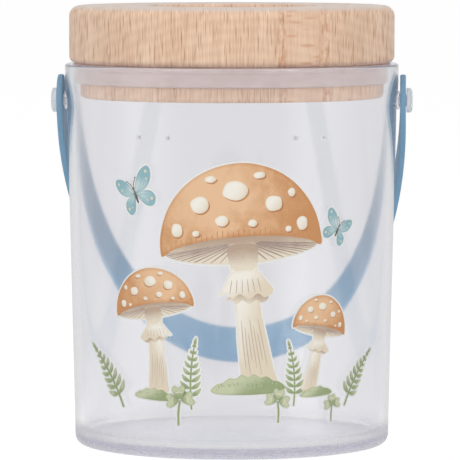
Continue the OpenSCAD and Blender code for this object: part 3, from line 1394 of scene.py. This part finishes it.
@dataclass(frozen=True)
class Toadstool(Motif):
    """A toadstool seen from a little below. Its size is the cap's width, its origin the middle of the rim."""

    cap_height: float = 0.5
    stem_length: float = 0.86
    stem_width: float = 0.17
    bend: float = 0.05
    gills: int = 26
    # Fine strokes along the cap's rim, down the stem and down its skirt
    rim_strokes: int = 30
    fibres: int = 7
    pleats: int = 6
    # Spots on the cap: place, half width and half height
    spots: Sequence[tuple[float, float, float, float]] = (
        (-0.02, 0.335, 0.074, 0.058), (-0.235, 0.265, 0.056, 0.05), (0.205, 0.245, 0.052, 0.047),
        (-0.385, 0.125, 0.034, 0.042), (0.375, 0.115, 0.036, 0.042), (-0.11, 0.165, 0.04, 0.032),
        (0.07, 0.14, 0.027, 0.022), (0.13, 0.415, 0.036, 0.02), (-0.16, 0.41, 0.034, 0.02),
        (0.285, 0.09, 0.02, 0.018), (-0.27, 0.1, 0.022, 0.018), (0.32, 0.3, 0.024, 0.026),
    )

    def stem_point(self, side: float, down: float) -> Point:
        """A point of the stem.

        Args:
            side: -1 at its left edge, 1 at its right one.
            down: 0 under the cap, 1 at the ground.

        Returns:
            The point.
        """
        waist = 0.08 * math.sin(math.pi * min(down * 1.4, 1.0))
        half = self.stem_width * (0.5 - waist + 0.24 * max(0.0, down - 0.55))
        return self.bend * down * down + side * half, 0.01 - self.stem_length * down

    def cap(self) -> Iterator[Patch]:
        """The cap with its gills, spots and fine lines."""
        # Drawn with a height of 0.49
        rise = self.cap_height / 0.49
        dome = [(-0.497, -0.012), (-0.49, 0.11), (-0.425, 0.265), (-0.3, 0.395), (-0.13, 0.475), (0.06, 0.49),
                (0.24, 0.43), (0.375, 0.32), (0.465, 0.175), (0.5, 0.02), (0.485, -0.02), (0.4, 0.02),
                (0.22, 0.056), (0.0, 0.068), (-0.22, 0.056), (-0.4, 0.02), (-0.475, -0.02)]
        dome = [(x, y * (rise if y > 0.07 else 1)) for x, y in dome]
        yield self.oval(Pigment.SHADE, (0, -0.008), (0.476, 0.084), 1, ((0, -0.09), (0, 0.07)), backed=True)
        yield self.area(Pigment.RUSSET, dome, 5, ((-0.16, 0.36), (0.42, -0.04)), circular=True, backed=True)
        for step in range(self.gills):
            turn = math.pi * (1.015 + 0.97 * step / (self.gills - 1))
            rim = (0.468 * math.cos(turn), 0.076 * math.sin(turn) - 0.008)
            root = (0.1 * math.cos(turn), 0.03 + 0.01 * math.sin(turn))
            yield self.stroke(Pigment.TAUPE, [rim, root], 0.0075, 2, (0.5, 0.6), 0.35 + 0.3 * (step % 2))
        for step in range(self.rim_strokes):
            across = (step - (self.rim_strokes - 1) / 2) / (self.rim_strokes / 2 + 0.2)
            foot = 0.07 * (1 - across * across) - 0.012
            length = 0.035 + 0.022 * math.sin(step * 2.4) ** 2
            line = [(0.485 * across, foot + 0.008), (0.478 * across, foot + 0.008 + length)]
            yield self.stroke(Pigment.EMBER, line, 0.006, 6, (0.9, 0.1), 0.3)
        for x, y, wide, high in self.spots:
            low = y * rise
            glow = ((x - wide * 0.4, low + high * 0.5), (x + wide, low - high * 1.1))
            yield self.oval(Pigment.EMBER, (x + 0.007, low - 0.009), (wide, high), 6, ((x, 2), (x, -1)))
            yield self.oval(Pigment.CREAM, (x, low), (wide, high), 7, glow)

    def stem(self) -> Iterator[Patch]:
        """The stem with its skirt, shadows and fibres."""
        downs = (0.0, 0.2, 0.45, 0.68, 0.86, 0.96)
        left = [self.stem_point(-1, down) for down in downs]
        right = [self.stem_point(1, down) for down in reversed(downs)]
        top = [self.stem_point(-1, 0.0), self.stem_point(-0.98, 0.14), self.stem_point(0, 0.18),
               self.stem_point(0.98, 0.14), self.stem_point(1, 0.0), (0, 0.024)]
        skirt_y = -0.27 * self.stem_length
        flare = self.stem_width
        skirt = [(-0.46, 0.085), (-0.68, 0.025), (-0.93, -0.045), (-0.7, -0.03), (-0.47, -0.066),
                 (-0.2, -0.04), (0.1, -0.074), (0.42, -0.044), (0.68, -0.07), (0.98, -0.03), (0.72, 0.035),
                 (0.5, 0.085), (0.0, 0.1)]
        hem = [(flare * x, skirt_y + y) for x, y in skirt]
        fallen = [(flare * 0.78 * x + 0.005, skirt_y - 0.045 + y * 0.8) for x, y in skirt]
        body = [*left, self.stem_point(0, 1.0), *right, (0, 0.02)]
        yield self.area(Pigment.CREAM, body, 3, ((-0.06, -0.3), (0.13, -0.36)), backed=True)
        yield self.area(Pigment.SHADE, top, 4, ((0, -0.16 * self.stem_length), (0, 0.01)))
        yield self.area(Pigment.SHADE, fallen, 4, ((0, skirt_y - 0.13), (0.02, skirt_y - 0.02)))
        yield self.area(Pigment.CREAM, hem, 6, ((-0.04, skirt_y + 0.07), (0.05, skirt_y - 0.07)), backed=True)
        for step in range(self.fibres):
            side = -0.66 + 0.22 * step
            start, end = 0.5 + 0.05 * (step % 3), 0.8 + 0.05 * ((step + 1) % 3)
            line = [self.stem_point(side, down) for down in (start, (start + end) / 2, end)]
            yield self.stroke(Pigment.TAUPE, line, 0.0055, 4, (0.1, 0.1), 0.1 + 0.1 * (step % 2))
        for step in range(self.pleats):
            x = flare * (-0.55 + 0.22 * step)
            line = [(x * 0.8, skirt_y + 0.05), (x, skirt_y - 0.035)]
            yield self.stroke(Pigment.TAUPE, line, 0.005, 7, (0.1, 0.6), 0.1)

    def patches(self) -> Iterator[Patch]:
        """The patches of the drawing."""
        yield from self.cap()
        yield from self.stem()


@dataclass(frozen=True)
class Butterfly(Motif):
    """A butterfly with open wings. Its size is its span."""

    # Width of the far wings as a share of the near ones
    far_share: float = 0.78

    def patches(self) -> Iterator[Patch]:
        """The patches of the drawing."""
        upper = [(0.02, 0.04), (0.1, 0.24), (0.27, 0.4), (0.45, 0.44), (0.505, 0.35), (0.45, 0.18),
                 (0.3, 0.05), (0.09, 0.0)]
        lower = [(0.03, 0.01), (0.2, 0.01), (0.36, -0.06), (0.41, -0.2), (0.32, -0.33), (0.18, -0.3),
                 (0.07, -0.14)]
        dots = ((0.4, 0.34, 0.03), (0.36, 0.2, 0.022), (0.32, -0.2, 0.032), (0.22, -0.2, 0.02))
        plain = ((0, 2), (0, -1))
        for side in (1, -self.far_share):
            for wing, layer in ((lower, 1), (upper, 2)):
                yield self.area(Pigment.TEAL, [(side * x, y) for x, y in wing], layer,
                                ((0.12 * side, 0.06), (0.52 * side, 0.1)), circular=True, backed=True)
            for x, y, radius in dots:
                yield self.oval(Pigment.CREAM, (side * x, y), (radius * abs(side), radius), 4, plain)
            for x, y in ((0.4, 0.38), (0.42, 0.24), (0.33, 0.1), (0.34, -0.12), (0.24, -0.26)):
                root = (side * 0.03, 0.02 if y > 0 else -0.02)
                vein = [root, (side * x * 0.5, y * 0.42), (side * x * 0.9, y * 0.9)]
                yield self.stroke(Pigment.TEAL, vein, 0.012, 3, (0.8, 0.1), 1.3)
            feeler = [(side * 0.008, 0.13), (side * 0.05, 0.23), (side * 0.12, 0.31)]
            yield self.stroke(Pigment.UMBER, feeler, 0.016, 5, (0.7, 0.6), 0.8)
            yield self.oval(Pigment.UMBER, (side * 0.125, 0.318), (0.018, 0.015), 6, plain)
        # The body and the head: height, half height, layer, and heights at which the tone is 0 and 1
        for y, high, layer, pale, deep in ((-0.03, 0.15, 6, 0.1, -0.1), (0.135, 0.03, 7, 0.16, 0.1)):
            shade = ((-0.03, pale), (0.04, deep))
            yield self.oval(Pigment.UMBER, (0, y), (0.028, high), layer, shade, backed=True)


@dataclass(frozen=True)
class Fern(Motif):
    """A fern frond. Its size is its length, its origin its root."""

    bend: float = 0.2
    pairs: int = 8
    spread: float = 0.27

    def axis(self, share: float) -> Vector:
        """Point of the frond's midrib at a share of its length."""
        return Vector((self.bend * share * share, share * (1 - 0.1 * self.bend * share)))

    def patches(self) -> Iterator[Patch]:
        """The patches of the drawing."""
        rib = [tuple(self.axis(step / 5)) for step in range(6)]
        yield self.stroke(Pigment.SAGE, rib, 0.026, 3, (1.0, 0.3), 0.95, backed=True)
        for pair in range(self.pairs):
            share = 0.2 + 0.72 * pair / (self.pairs - 1)
            root = self.axis(share)
            heading = (self.axis(share + 0.02) - root).normalized()
            length = self.spread * (1.02 - share) ** 0.75 * (0.75 + 0.25 * math.sin(math.pi * share))
            for side, layer in ((-1, 1), (1, 2)):
                turn = Matrix.Rotation(side * math.radians(58 - 14 * share), 2)
                tip = root + turn @ heading * (length * (1 + 0.06 * math.sin(5 * pair + side)))
                width = 0.075 - 0.035 * share
                yield self.leaf(Pigment.SAGE, tuple(root), tuple(tip), width, layer, 0.1 * side)
        yield self.leaf(Pigment.SAGE, tuple(self.axis(0.93)), tuple(self.axis(1.06)), 0.045, 3)


@dataclass(frozen=True)
class Clover(Motif):
    """A three-leaved clover. Its size is its height, its origin its root."""

    bend: float = 0.1

    def patches(self) -> Iterator[Patch]:
        """The patches of the drawing."""
        heart = [(0.0, 0.03), (-0.11, 0.13), (-0.17, 0.27), (-0.1, 0.36), (0.0, 0.3), (0.1, 0.36),
                 (0.17, 0.27), (0.11, 0.13)]
        top = Vector((self.bend, 0.6))
        stalk = [(0.0, 0.0), (self.bend * 0.3, 0.32), tuple(top)]
        yield self.stroke(Pigment.SAGE, stalk, 0.045, 1, (0.9, 0.6), 0.9, backed=True)
        for index, degrees in enumerate((88, 2, -84)):
            turn = Matrix.Rotation(math.radians(degrees), 2)
            knots = [tuple(top + turn @ Vector(knot)) for knot in heart]
            middle = top + turn @ Vector((0, 0.3))
            yield self.area(Pigment.SAGE, knots, 2 + index, (tuple(middle), tuple(top)), backed=True)
            vein = [tuple(top + turn @ Vector((x, 0.2 - 0.35 * abs(x)))) for x in (-0.1, 0.0, 0.1)]
            yield self.stroke(Pigment.SHADE, vein, 0.025, 5, (0.1, 0.1), 0.0)


@dataclass(frozen=True)
class Moss(Motif):
    """A low cushion of moss. Its size is its width, its origin the middle of its foot."""

    humps: int = 6

    def patches(self) -> Iterator[Patch]:
        """The patches of the drawing."""
        foot = [(0.42, -0.035), (0.14, -0.055), (-0.16, -0.05), (-0.42, -0.03)]
        crest = []
        for step in range(2 * self.humps + 1):
            share = step / (2 * self.humps)
            arch = math.sin(math.pi * share) ** 0.7
            crest.append((-0.5 + share, 0.02 + 0.17 * arch + (0.03 if step % 2 else -0.012) * arch))
        yield self.area(Pigment.SAGE, foot + crest, 1, ((-0.1, 0.2), (0.1, -0.08)), backed=True)
        for step in range(4 * self.humps):
            x = -0.42 + 0.84 * ((step * 0.618) % 1.0)
            y = 0.01 + 0.13 * math.sin(math.pi * (x + 0.5)) * ((step * 0.37) % 1.0)
            tip = (x + 0.02 * math.sin(step), y + 0.045)
            yield self.stroke(Pigment.SAGE, [(x, y), tip], 0.014, 2, (0.8, 0.1), 0.2 + 1.0 * (step % 2))


@dataclass
class FrontPrint:
    """The picture printed on the jar's front: toadstools, ferns, clover and butterflies."""

    # Outer radius of the jar's wall at a height, both in millimetres
    wall_at: Callable[[float], float]
    # Height of the first ink above the wall and of each further one above the last, in millimetres
    first_lift: float = 0.035
    lift_step: float = 0.012
    # Distance from the outline and tone of the white ink, all over: plain, with no darker edge
    plain_rim: float = 9.0
    plain_tone: float = 0.5
    # How far the white ink shows round the others
    border: float = 0.55
    spacing: float = 1.9
    # Turn of the whole print to the right
    turn: float = FRONT_TURN
    motifs: Sequence[Motif] = (
        Fern((-13.5, 17.0), 23.0, 6.0, bend=0.16, lowest_layer=1),
        Fern((21.0, 18.0), 21.0, -7.0, mirrored=True, bend=0.2, lowest_layer=1),
        Toadstool((3.5, 71.0), 56.0, 4.0, lowest_layer=5),
        Toadstool((-27.5, 50.0), 30.0, 9.0, True, cap_height=0.46, stem_length=0.98, stem_width=0.2,
                  bend=0.08, gills=18, lowest_layer=5),
        Toadstool((31.0, 43.0), 21.0, -10.0, cap_height=0.55, stem_length=1.02, stem_width=0.22, bend=-0.06,
                  gills=14, lowest_layer=5),
        Fern((-39.5, 16.5), 25.0, 24.0, True, bend=0.26, lowest_layer=14),
        Fern((41.5, 17.0), 22.0, -24.0, bend=0.24, lowest_layer=14),
        Moss((5.5, 23.5), 25.0, 2.0, lowest_layer=14),
        Moss((-27.0, 20.5), 15.0, -3.0, humps=5, lowest_layer=14),
        Moss((29.5, 21.5), 12.5, 3.0, humps=4, lowest_layer=14),
        Clover((-18.0, 11.5), 14.0, 6.0, lowest_layer=17),
        Clover((15.5, 12.5), 12.0, -8.0, True, lowest_layer=17),
        Clover((35.5, 12.0), 9.5, 4.0, lowest_layer=17),
        Butterfly((-34.0, 88.0), 17.0, 24.0, lowest_layer=1),
        Butterfly((38.0, 76.0), 13.0, -28.0, True, lowest_layer=1),
    )

    def on_wall(self, spot: Vector, layer: int) -> Vector:
        """Rolls a point of the flat drawing onto the jar.

        Args:
            spot: Distance to the right along the wall and height, in millimetres.
            layer: The ink's layer.

        Returns:
            The point in metres.
        """
        wall = self.wall_at(spot.y)
        turn = spot.x / wall + self.turn
        radius = wall + self.first_lift + self.lift_step * layer
        return Vector((radius * math.sin(turn), -radius * math.cos(turn), spot.y)) * MM

    def backing(self, patches: Sequence[Patch]) -> Net:
        """The white ink under all backed patches, as one area.

        Args:
            patches: All patches.

        Returns:
            Its flat points and its triangles.
        """
        outlines = [grown(patch.outline, self.border) for patch in patches if patch.backed]
        boxes = [extent(outline) for outline in outlines]

        def covered(spot: Vector) -> bool:
            """Whether white ink lies here."""
            return any(low_x < spot.x < high_x and low_y < spot.y < high_y and inside(spot, outline)
                       for ((low_x, low_y), (high_x, high_y)), outline in zip(boxes, outlines))

        points: list[Vector] = []
        loops = []
        for outline in outlines:
            loops.append(list(range(len(points), len(points) + len(outline))))
            points.extend(outline)
        low, high = extent([corner for box in boxes for corner in box])
        counts = [int((most - least) / self.spacing) for least, most in zip(low, high)]
        points += [spot for spot in grid(low, counts, self.spacing) if covered(spot)]
        return triangles(points, loops, covered)

    def make(self) -> None:
        """Builds one piece for each ink and hands them to the jar."""
        patches = [patch for motif in self.motifs for patch in motif.patches()]
        spots, faces = self.backing(patches)
        under = [self.on_wall(spot, 0) for spot in spots]
        self.lay(Pigment.WHITE, under, faces, [self.plain_rim] * len(spots), [self.plain_tone] * len(spots))
        for pigment in Pigment:
            verts: list[Vector] = []
            shapes: list[Sequence[int]] = []
            rims: list[float] = []
            tones: list[float] = []
            for patch in (patch for patch in patches if patch.pigment is pigment):
                outline = list(patch.outline)
                used, made = triangles(
                    outline + patch.inner_points(self.spacing), [list(range(len(outline)))],
                    lambda spot, outline=outline: inside(spot, outline))
                shapes.extend([index + len(verts) for index in face] for face in made)
                verts.extend(self.on_wall(spot, patch.layer) for spot in used)
                rims.extend(rim_distance(spot, outline) for spot in used)
                tones.extend(patch.shade.at(spot) for spot in used)
            if shapes:
                self.lay(pigment, verts, shapes, rims, tones)

    def lay(self, pigment: Pigment, verts: Sequence[Vector], faces: Sequence[Sequence[int]],
            rims: Sequence[float], tones: Sequence[float]) -> None:
        """Makes the piece of one ink.

        Args:
            pigment: The ink.
            verts: Its points in metres.
            faces: Its faces.
            rims: Distance of each point from its patch's outline, in millimetres.
            tones: Tone of each point.
        """
        name = pigment.name.lower()
        sheet = new_object("print_" + name, verts, faces, is_solid=False)
        write_attribute(sheet, "rim", rims)
        write_attribute(sheet, "tone", tones)
        place_piece(sheet, pigment.value.material(name), Body.JAR)


@dataclass
class Lid:
    """The wooden lid with its air holes, and the seal in its groove."""

    top: float = field(default_factory=lambda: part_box("lid_block")[1].z)
    plug_bottom: float = field(default_factory=lambda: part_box("lid_block")[0].z)
    disc_radius: float = field(default_factory=lambda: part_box("lid_block")[1].y)
    disc_bottom: float = field(default_factory=lambda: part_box("lid_seal")[1].z)
    seal_bottom: float = field(default_factory=lambda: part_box("lid_seal")[0].z)
    lip_radius: float = field(default_factory=lambda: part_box("lid_seal")[1].y)
    seat_radius: float = field(default_factory=lambda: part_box("magnifier_lens")[1].y)
    lip_gap: float = 0.3 * MM
    plug_gap: float = 2.5 * MM
    groove_depth: float = 1.0 * MM
    top_rounding: float = 3.7 * MM
    bottom_rounding: float = 2.6 * MM
    plug_rounding: float = 1.7 * MM
    sight_rounding: float = 1.5 * MM
    well_rounding: float = 1.2 * MM
    edge_break: float = 0.2 * MM
    seat_depth: float = 8.0 * MM
    flange_width: float = 3.0 * MM
    lip_height: float = 1.1 * MM
    lip_reach: float = 0.6 * MM
    # Distances below the disc at which the lip starts, is full and narrows again, in heights of it
    lip_levels: tuple[float, float, float] = (2.2, 1.5, 0.5)
    seal_fit: float = 0.05 * MM
    seal_rounding: float = 0.25 * MM
    hole_count: int = 8
    hole_radius: float = 1.6 * MM
    hole_flare: float = 0.5 * MM
    overrun: float = 1.0 * MM

    @property
    def plug_radius(self) -> float:
        """Radius of the plug below the disc."""
        return self.lip_radius + self.lip_gap - self.plug_gap

    @property
    def groove_radius(self) -> float:
        """Radius of the floor of the seal's groove."""
        return self.plug_radius - self.groove_depth

    def block_section(self) -> list[Point]:
        """The block's half section round its well."""
        sight = self.seat_radius - self.flange_width
        seat = self.top - self.seat_depth
        return rounded([
            (self.seat_radius, self.plug_bottom, self.well_rounding),
            (self.plug_radius, self.plug_bottom, self.plug_rounding),
            (self.plug_radius, self.seal_bottom, self.edge_break),
            (self.groove_radius, self.seal_bottom, self.edge_break),
            (self.groove_radius, self.disc_bottom, self.edge_break),
            (self.disc_radius, self.disc_bottom, self.bottom_rounding),
            (self.disc_radius, self.top, self.top_rounding),
            (sight, self.top, self.sight_rounding),
            (sight, seat, self.edge_break),
            (self.seat_radius, seat, self.edge_break),
        ], closed=True)

    def hole_cutter(self) -> bpy.types.Object:
        """All air holes as one solid, flared where they open."""
        low, high = self.plug_bottom, self.top
        wide = self.hole_radius + self.hole_flare
        cutter = turned("air_holes", rounded([
            (0, low - self.overrun, 0),
            (wide, low - self.overrun, 0),
            (wide, low, self.edge_break),
            (self.hole_radius, low + self.hole_flare, self.edge_break),
            (self.hole_radius, high - self.hole_flare, self.edge_break),
            (wide, high, self.edge_break),
            (wide, high + self.overrun, 0),
            (0, high + self.overrun, 0),
        ]), segments=48)
        circle_radius = (self.seat_radius + self.groove_radius) / 2
        whole = bmesh.new()
        for index in range(self.hole_count):
            copy = cutter.data.copy()
            turn = Matrix.Rotation((index + 0.5) * 2 * math.pi / self.hole_count, 4, "Z")
            copy.transform(turn @ Matrix.Translation((circle_radius, 0, 0)))
            whole.from_mesh(copy)
            bpy.data.meshes.remove(copy)
        whole.to_mesh(cutter.data)
        whole.free()
        return cutter

    def seal_section(self) -> list[Point]:
        """The seal's section: a band in the groove with a lip under the disc and a bevelled foot."""
        band = self.lip_radius - self.lip_reach
        back = self.groove_radius + self.seal_fit
        soft = self.seal_rounding
        start, full, end = (self.disc_bottom - level * self.lip_height for level in self.lip_levels)
        return rounded([
            (back, self.seal_bottom, soft),
            (band - self.lip_reach, self.seal_bottom, soft),
            (band, self.seal_bottom + self.lip_reach, soft),
            (band, start, soft * 2),
            (self.lip_radius, full, soft),
            (self.lip_radius, end, soft),
            (band, self.disc_bottom, soft),
            (back, self.disc_bottom, soft),
        ], closed=True)

    def make(self, wood: Beech, rubber: SealRubber) -> None:
        """Builds the block and the seal.

        Args:
            wood: Finish of the block.
            rubber: Finish of the seal.
        """
        block = turned("lid_beech_block", self.block_section(), closed=True)
        combine(block, self.hole_cutter(), Cut.REMOVE)
        place_piece(block, wood.material(), Body.LID, "lid_block")
        seal = turned("lid_ring_seal", self.seal_section(), closed=True)
        place_piece(seal, rubber.material(), Body.LID, "lid_seal")


@dataclass
class Magnifier:
    """The domed lens in the lid and the ring that holds it."""

    bottom: float = field(default_factory=lambda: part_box("magnifier_lens")[0].z)
    top: float = field(default_factory=lambda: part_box("magnifier_lens")[1].z)
    seat_radius: float = field(default_factory=lambda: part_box("magnifier_lens")[1].y)
    ring_bottom: float = field(default_factory=lambda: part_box("lens_ring")[0].z)
    fit: float = 0.05 * MM
    flange_width: float = 3.0 * MM
    edge_height: float = 3.0 * MM
    lens_gap: float = 0.4 * MM
    ring_width: float = 4.0 * MM
    edge_break: float = 0.25 * MM
    ring_break: float = 0.8 * MM
    dome_steps: int = 24

    def lens_section(self) -> list[Point]:
        """The lens's half section: flat underside, flange and dome."""
        seat = self.bottom + self.edge_height
        radius = self.seat_radius - self.flange_width - self.lens_gap
        rise = self.top - seat
        curve = (radius ** 2 + rise ** 2) / (2 * rise)
        limit = math.asin(radius / curve)
        outer = self.seat_radius - self.fit
        flange = rounded([
            (0, self.bottom + self.fit, 0),
            (outer, self.bottom + self.fit, self.edge_break),
            (outer, seat - self.fit, self.edge_break),
            (radius, seat - self.fit, 0),
        ])
        turns = (limit * (1 - step / self.dome_steps) for step in range(self.dome_steps + 1))
        return flange + [(curve * math.sin(turn), self.top - curve * (1 - math.cos(turn))) for turn in turns]

    def ring_section(self) -> list[Point]:
        """The ring's section with eased edges."""
        outer = self.seat_radius - self.fit
        inner = self.seat_radius - self.ring_width
        return rounded([
            (inner, self.ring_bottom, self.ring_break),
            (outer, self.ring_bottom, self.edge_break),
            (outer, self.bottom, self.edge_break),
            (inner, self.bottom, self.edge_break),
        ], closed=True)

    def make(self, clear: ClearPlastic, wood: Beech) -> None:
        """Builds the lens and its ring.

        Args:
            clear: Finish of the lens.
            wood: Finish of the ring.
        """
        lens = turned("magnifier_dome", self.lens_section())
        place_piece(lens, clear.material(), Body.LID, "magnifier_lens")
        ring = turned("magnifier_ring", self.ring_section(), closed=True)
        place_piece(ring, wood.material(), Body.LID, "lens_ring")


@dataclass(frozen=True)
class Panel:
    """A brighter part of the room, which reflections show. Angles are in degrees."""

    # Turn from the front, half width inside its soft edge and outside of it, and added brightness
    middle: float
    inner: float
    outer: float
    added: float
    # Whether it shows low on the jar alone
    is_near: bool = False


@dataclass(frozen=True)
class Lamp:
    """A soft lamp that faces the object, turned to the right and raised by degrees, its power in watts."""

    name: str
    turn: float
    rise: float
    size: Point
    power: float


@dataclass
class Studio:
    """Plain pale floor, soft lamps, even surroundings and the camera."""

    # Place and aim of the camera, which stands level with the lid and looks slightly down
    camera_distance: float = 1.5
    camera_height: float = 0.1821
    camera_side: float = -0.00062
    camera_pitch: float = math.radians(4.161)
    camera_turn: float = FRONT_TURN
    # Side and focal length of the picture in pixels, and width of the sensor in millimetres
    picture_side: float = 460.0
    focal_pixels: float = 4385.0
    sensor: float = 36.0
    # How far the camera sees
    sight: float = 50.0
    floor_size: float = 24.0
    # Light from all round on matte surfaces
    surround: float = 0.62
    # Brightness of the room behind clear plastic, and in a reflection
    through_glow: float = 0.735
    mirrored_glow: float = 1.0
    # What a reflection from the far side loses, and the angles between which this takes hold
    far_fall: float = 0.22
    far_angles: Point = (80, 132)
    panels: Sequence[Panel] = (
        Panel(-62, 5, 26, 0.45),
        Panel(-90, 12, 36, 0.08),
        Panel(62, 14, 32, 0.22),
        Panel(45, 6, 15, 0.5, is_near=True),
    )
    # Added glow close to the object
    near_glow: float = 0.12
    # Distances from the object between which its shade on the floor ends, and what is near fades out
    shade_reach: Point = (0.058, 0.11)
    near_reach: Point = (0.35, 0.7)
    # The floor for the camera, which glows a little so that it reads as white, and for all other light
    seen_floor: Colour = srgb(150, 150, 150)
    floor_glow: float = 0.8
    lit_floor: Colour = srgb(232, 232, 232)
    lamps: Sequence[Lamp] = (
        Lamp("left_panel", -37, 24, (0.5, 0.9), 3.1),
        Lamp("right_panel", 37, 24, (0.5, 0.9), 3.1),
        Lamp("top_panel", 0, 80, (1.2, 1.2), 2.6),
    )
    lamp_distance: float = 1.3
    # Height that the lamps face
    lamp_target: float = 0.08
    # Light goes through many clear walls, one in the other
    bounces: int = 64
    see_through_bounces: int = 16

    def room_glow(self, bench: Bench, paths: Wire, towards: Wire, nearness: Wire | float,
                  under: Wire | float) -> Wire:
        """Brightness of the room as clear and shiny surfaces show it.

        Args:
            bench: Where the nodes go.
            paths: The light path's node.
            towards: Direction from the object.
            nearness: 1 on what stands close to the object.
            under: 1 on what lies below the object, in its shade.

        Returns:
            The brightness.
        """
        angle = bench.maths("ARCTAN2", towards.part("X"), towards.part("Y") * -1) * (180 / math.pi)
        far = abs(angle).step(*self.far_angles)
        shown = (1 - far) * nearness * self.near_glow - far * self.far_fall + self.mirrored_glow
        for panel in self.panels:
            lit = (1 - abs(angle - panel.middle).step(panel.inner, panel.outer)) * panel.added
            shown = lit * (nearness if panel.is_near else 1.0) + shown
        mirrored = (1 - under) * paths.output("Glossy Depth").smaller(1.0)
        return mirrored * (shown - self.through_glow) + self.through_glow

    def build_floor(self) -> None:
        """A wide pale floor that reads as white and keeps a faint shadow."""
        half = self.floor_size / 2
        corners = [(-half, -half, 0), (half, -half, 0), (half, half, 0), (-half, half, 0)]
        floor = new_object("floor", corners, [(0, 1, 2, 3)], is_solid=False)
        bench = material_bench("floor_paper")
        direct = bench.node("LightPath", {}, "Is Camera Ray")
        mirrored = direct.output("Is Glossy Ray").larger(direct.output("Is Transmission Ray"))
        lit = bench.node("BsdfDiffuse", {"Color": self.lit_floor})
        seen = bench.node("BsdfDiffuse", {"Color": self.seen_floor})
        glow = bench.node("Emission", {"Strength": self.floor_glow})
        seen = bench.node("AddShader", {0: seen, 1: glow})
        place = bench.node("TexCoord", {}, "Object")
        reach = bench.node("VectorMath", {0: place}, "Value", operation="LENGTH")
        under = 1 - reach.step(*self.shade_reach)
        shown = self.room_glow(bench, direct, place, 1 - reach.step(*self.near_reach), under)
        even = bench.node("Emission", {"Strength": shown})
        matte = bench.node("MixShader", {0: direct, 1: lit, 2: seen})
        surface = bench.node("MixShader", {0: mirrored, 1: matte, 2: even})
        floor.data.materials.append(bench.finish(surface))

    def build_surroundings(self) -> None:
        """An even white sky: plain light for matte surfaces, and the room's glow for clear and shiny ones."""
        bench = Bench(bpy.data.worlds.new("surroundings"))
        paths = bench.node("LightPath", {}, "Is Camera Ray")
        # Past a matte surface a ray only gathers light for it, also where it left through clear plastic
        first = 1 - paths.output("Diffuse Depth").smaller(1.0)
        room = paths.output("Is Glossy Ray").larger(paths.output("Is Transmission Ray")) * first
        glow = self.room_glow(bench, paths, bench.node("TexCoord", {}, "Generated"), 0.0, 0.0)
        strength = paths.larger(room * glow) + (1 - paths.larger(room)) * self.surround
        sky = bench.node("Background", {"Color": (1, 1, 1, 1), "Strength": strength})
        bpy.context.scene.world = bench.finish(sky)

    def build_lamps(self) -> None:
        """Soft lamps that light matte surfaces, and show neither to the camera nor through the jar."""
        for lamp in self.lamps:
            data = bpy.data.lights.new(lamp.name, "AREA")
            data.shape = "RECTANGLE"
            data.size, data.size_y = lamp.size
            data.energy = lamp.power
            placed = bpy.data.objects.new(lamp.name, data)
            bpy.context.scene.collection.objects.link(placed)
            across, up = math.radians(lamp.turn), math.radians(lamp.rise)
            offset = Vector((math.sin(across) * math.cos(up), -math.cos(across) * math.cos(up), math.sin(up)))
            placed.location = Vector((0, 0, self.lamp_target)) + offset * self.lamp_distance
            placed.rotation_euler = (-offset).to_track_quat("-Z", "Y").to_euler()
            placed.visible_camera = False
            placed.visible_transmission = False

    def build_camera(self) -> None:
        """The camera at the photograph's distance, height and angle."""
        data = bpy.data.cameras.new("camera")
        data.sensor_width = self.sensor
        data.lens = self.focal_pixels / self.picture_side * self.sensor
        data.clip_end = self.sight
        camera = bpy.data.objects.new("camera", data)
        bpy.context.scene.collection.objects.link(camera)
        place = Vector((self.camera_side, -self.camera_distance, self.camera_height))
        camera.location = Matrix.Rotation(self.camera_turn, 3, "Z") @ place
        camera.rotation_euler = (math.pi / 2 - self.camera_pitch, 0, self.camera_turn)
        bpy.context.scene.camera = camera

    def build(self) -> None:
        """Sets up everything round the object."""
        self.build_camera()
        self.build_floor()
        self.build_surroundings()
        self.build_lamps()
        scene = bpy.context.scene
        scene.view_settings.view_transform = "Standard"
        cycles = scene.cycles
        cycles.max_bounces = self.bounces
        cycles.transmission_bounces = self.bounces
        cycles.glossy_bounces = self.bounces
        cycles.transparent_max_bounces = self.see_through_bounces
        cycles.use_denoising = True
        cycles.blur_glossy = 0.0


def main() -> None:
    """Builds the studio and the object, piece by piece."""
    logging.basicConfig(level=logging.INFO, format="%(name)s %(message)s")
    Studio().build()
    jar = JarBody()
    clear = ClearPlastic("clear_plastic", srgb(252, 252, 254), srgb(226, 224, 235), 13.0, marks=32,
                         frost_height=5.0, frost=0.2, stud_radius=jar.collar_radius / MM + 0.1)
    cloudy = ClearPlastic("cap_plastic", srgb(247, 249, 251), srgb(226, 227, 230), 20.0, haze=0.3,
                          clearness=0.6)
    lens = ClearPlastic("lens_plastic", srgb(252, 252, 252), srgb(235, 238, 240), 10.0, haze=0.0)
    beech = Beech("beech")
    jar.make(clear)
    PivotCaps(jar.cap_face, jar.pivot_height).make(cloudy)
    HandleStrap(jar.pivot_height / MM, jar.wall_radius(jar.wall_start) / MM, jar.wall_at).make(MatteStrap())
    FrontPrint(jar.wall_at).make()
    Lid().make(beech, SealRubber())
    Magnifier().make(lens, beech)


if __name__ == "__main__":
    main()
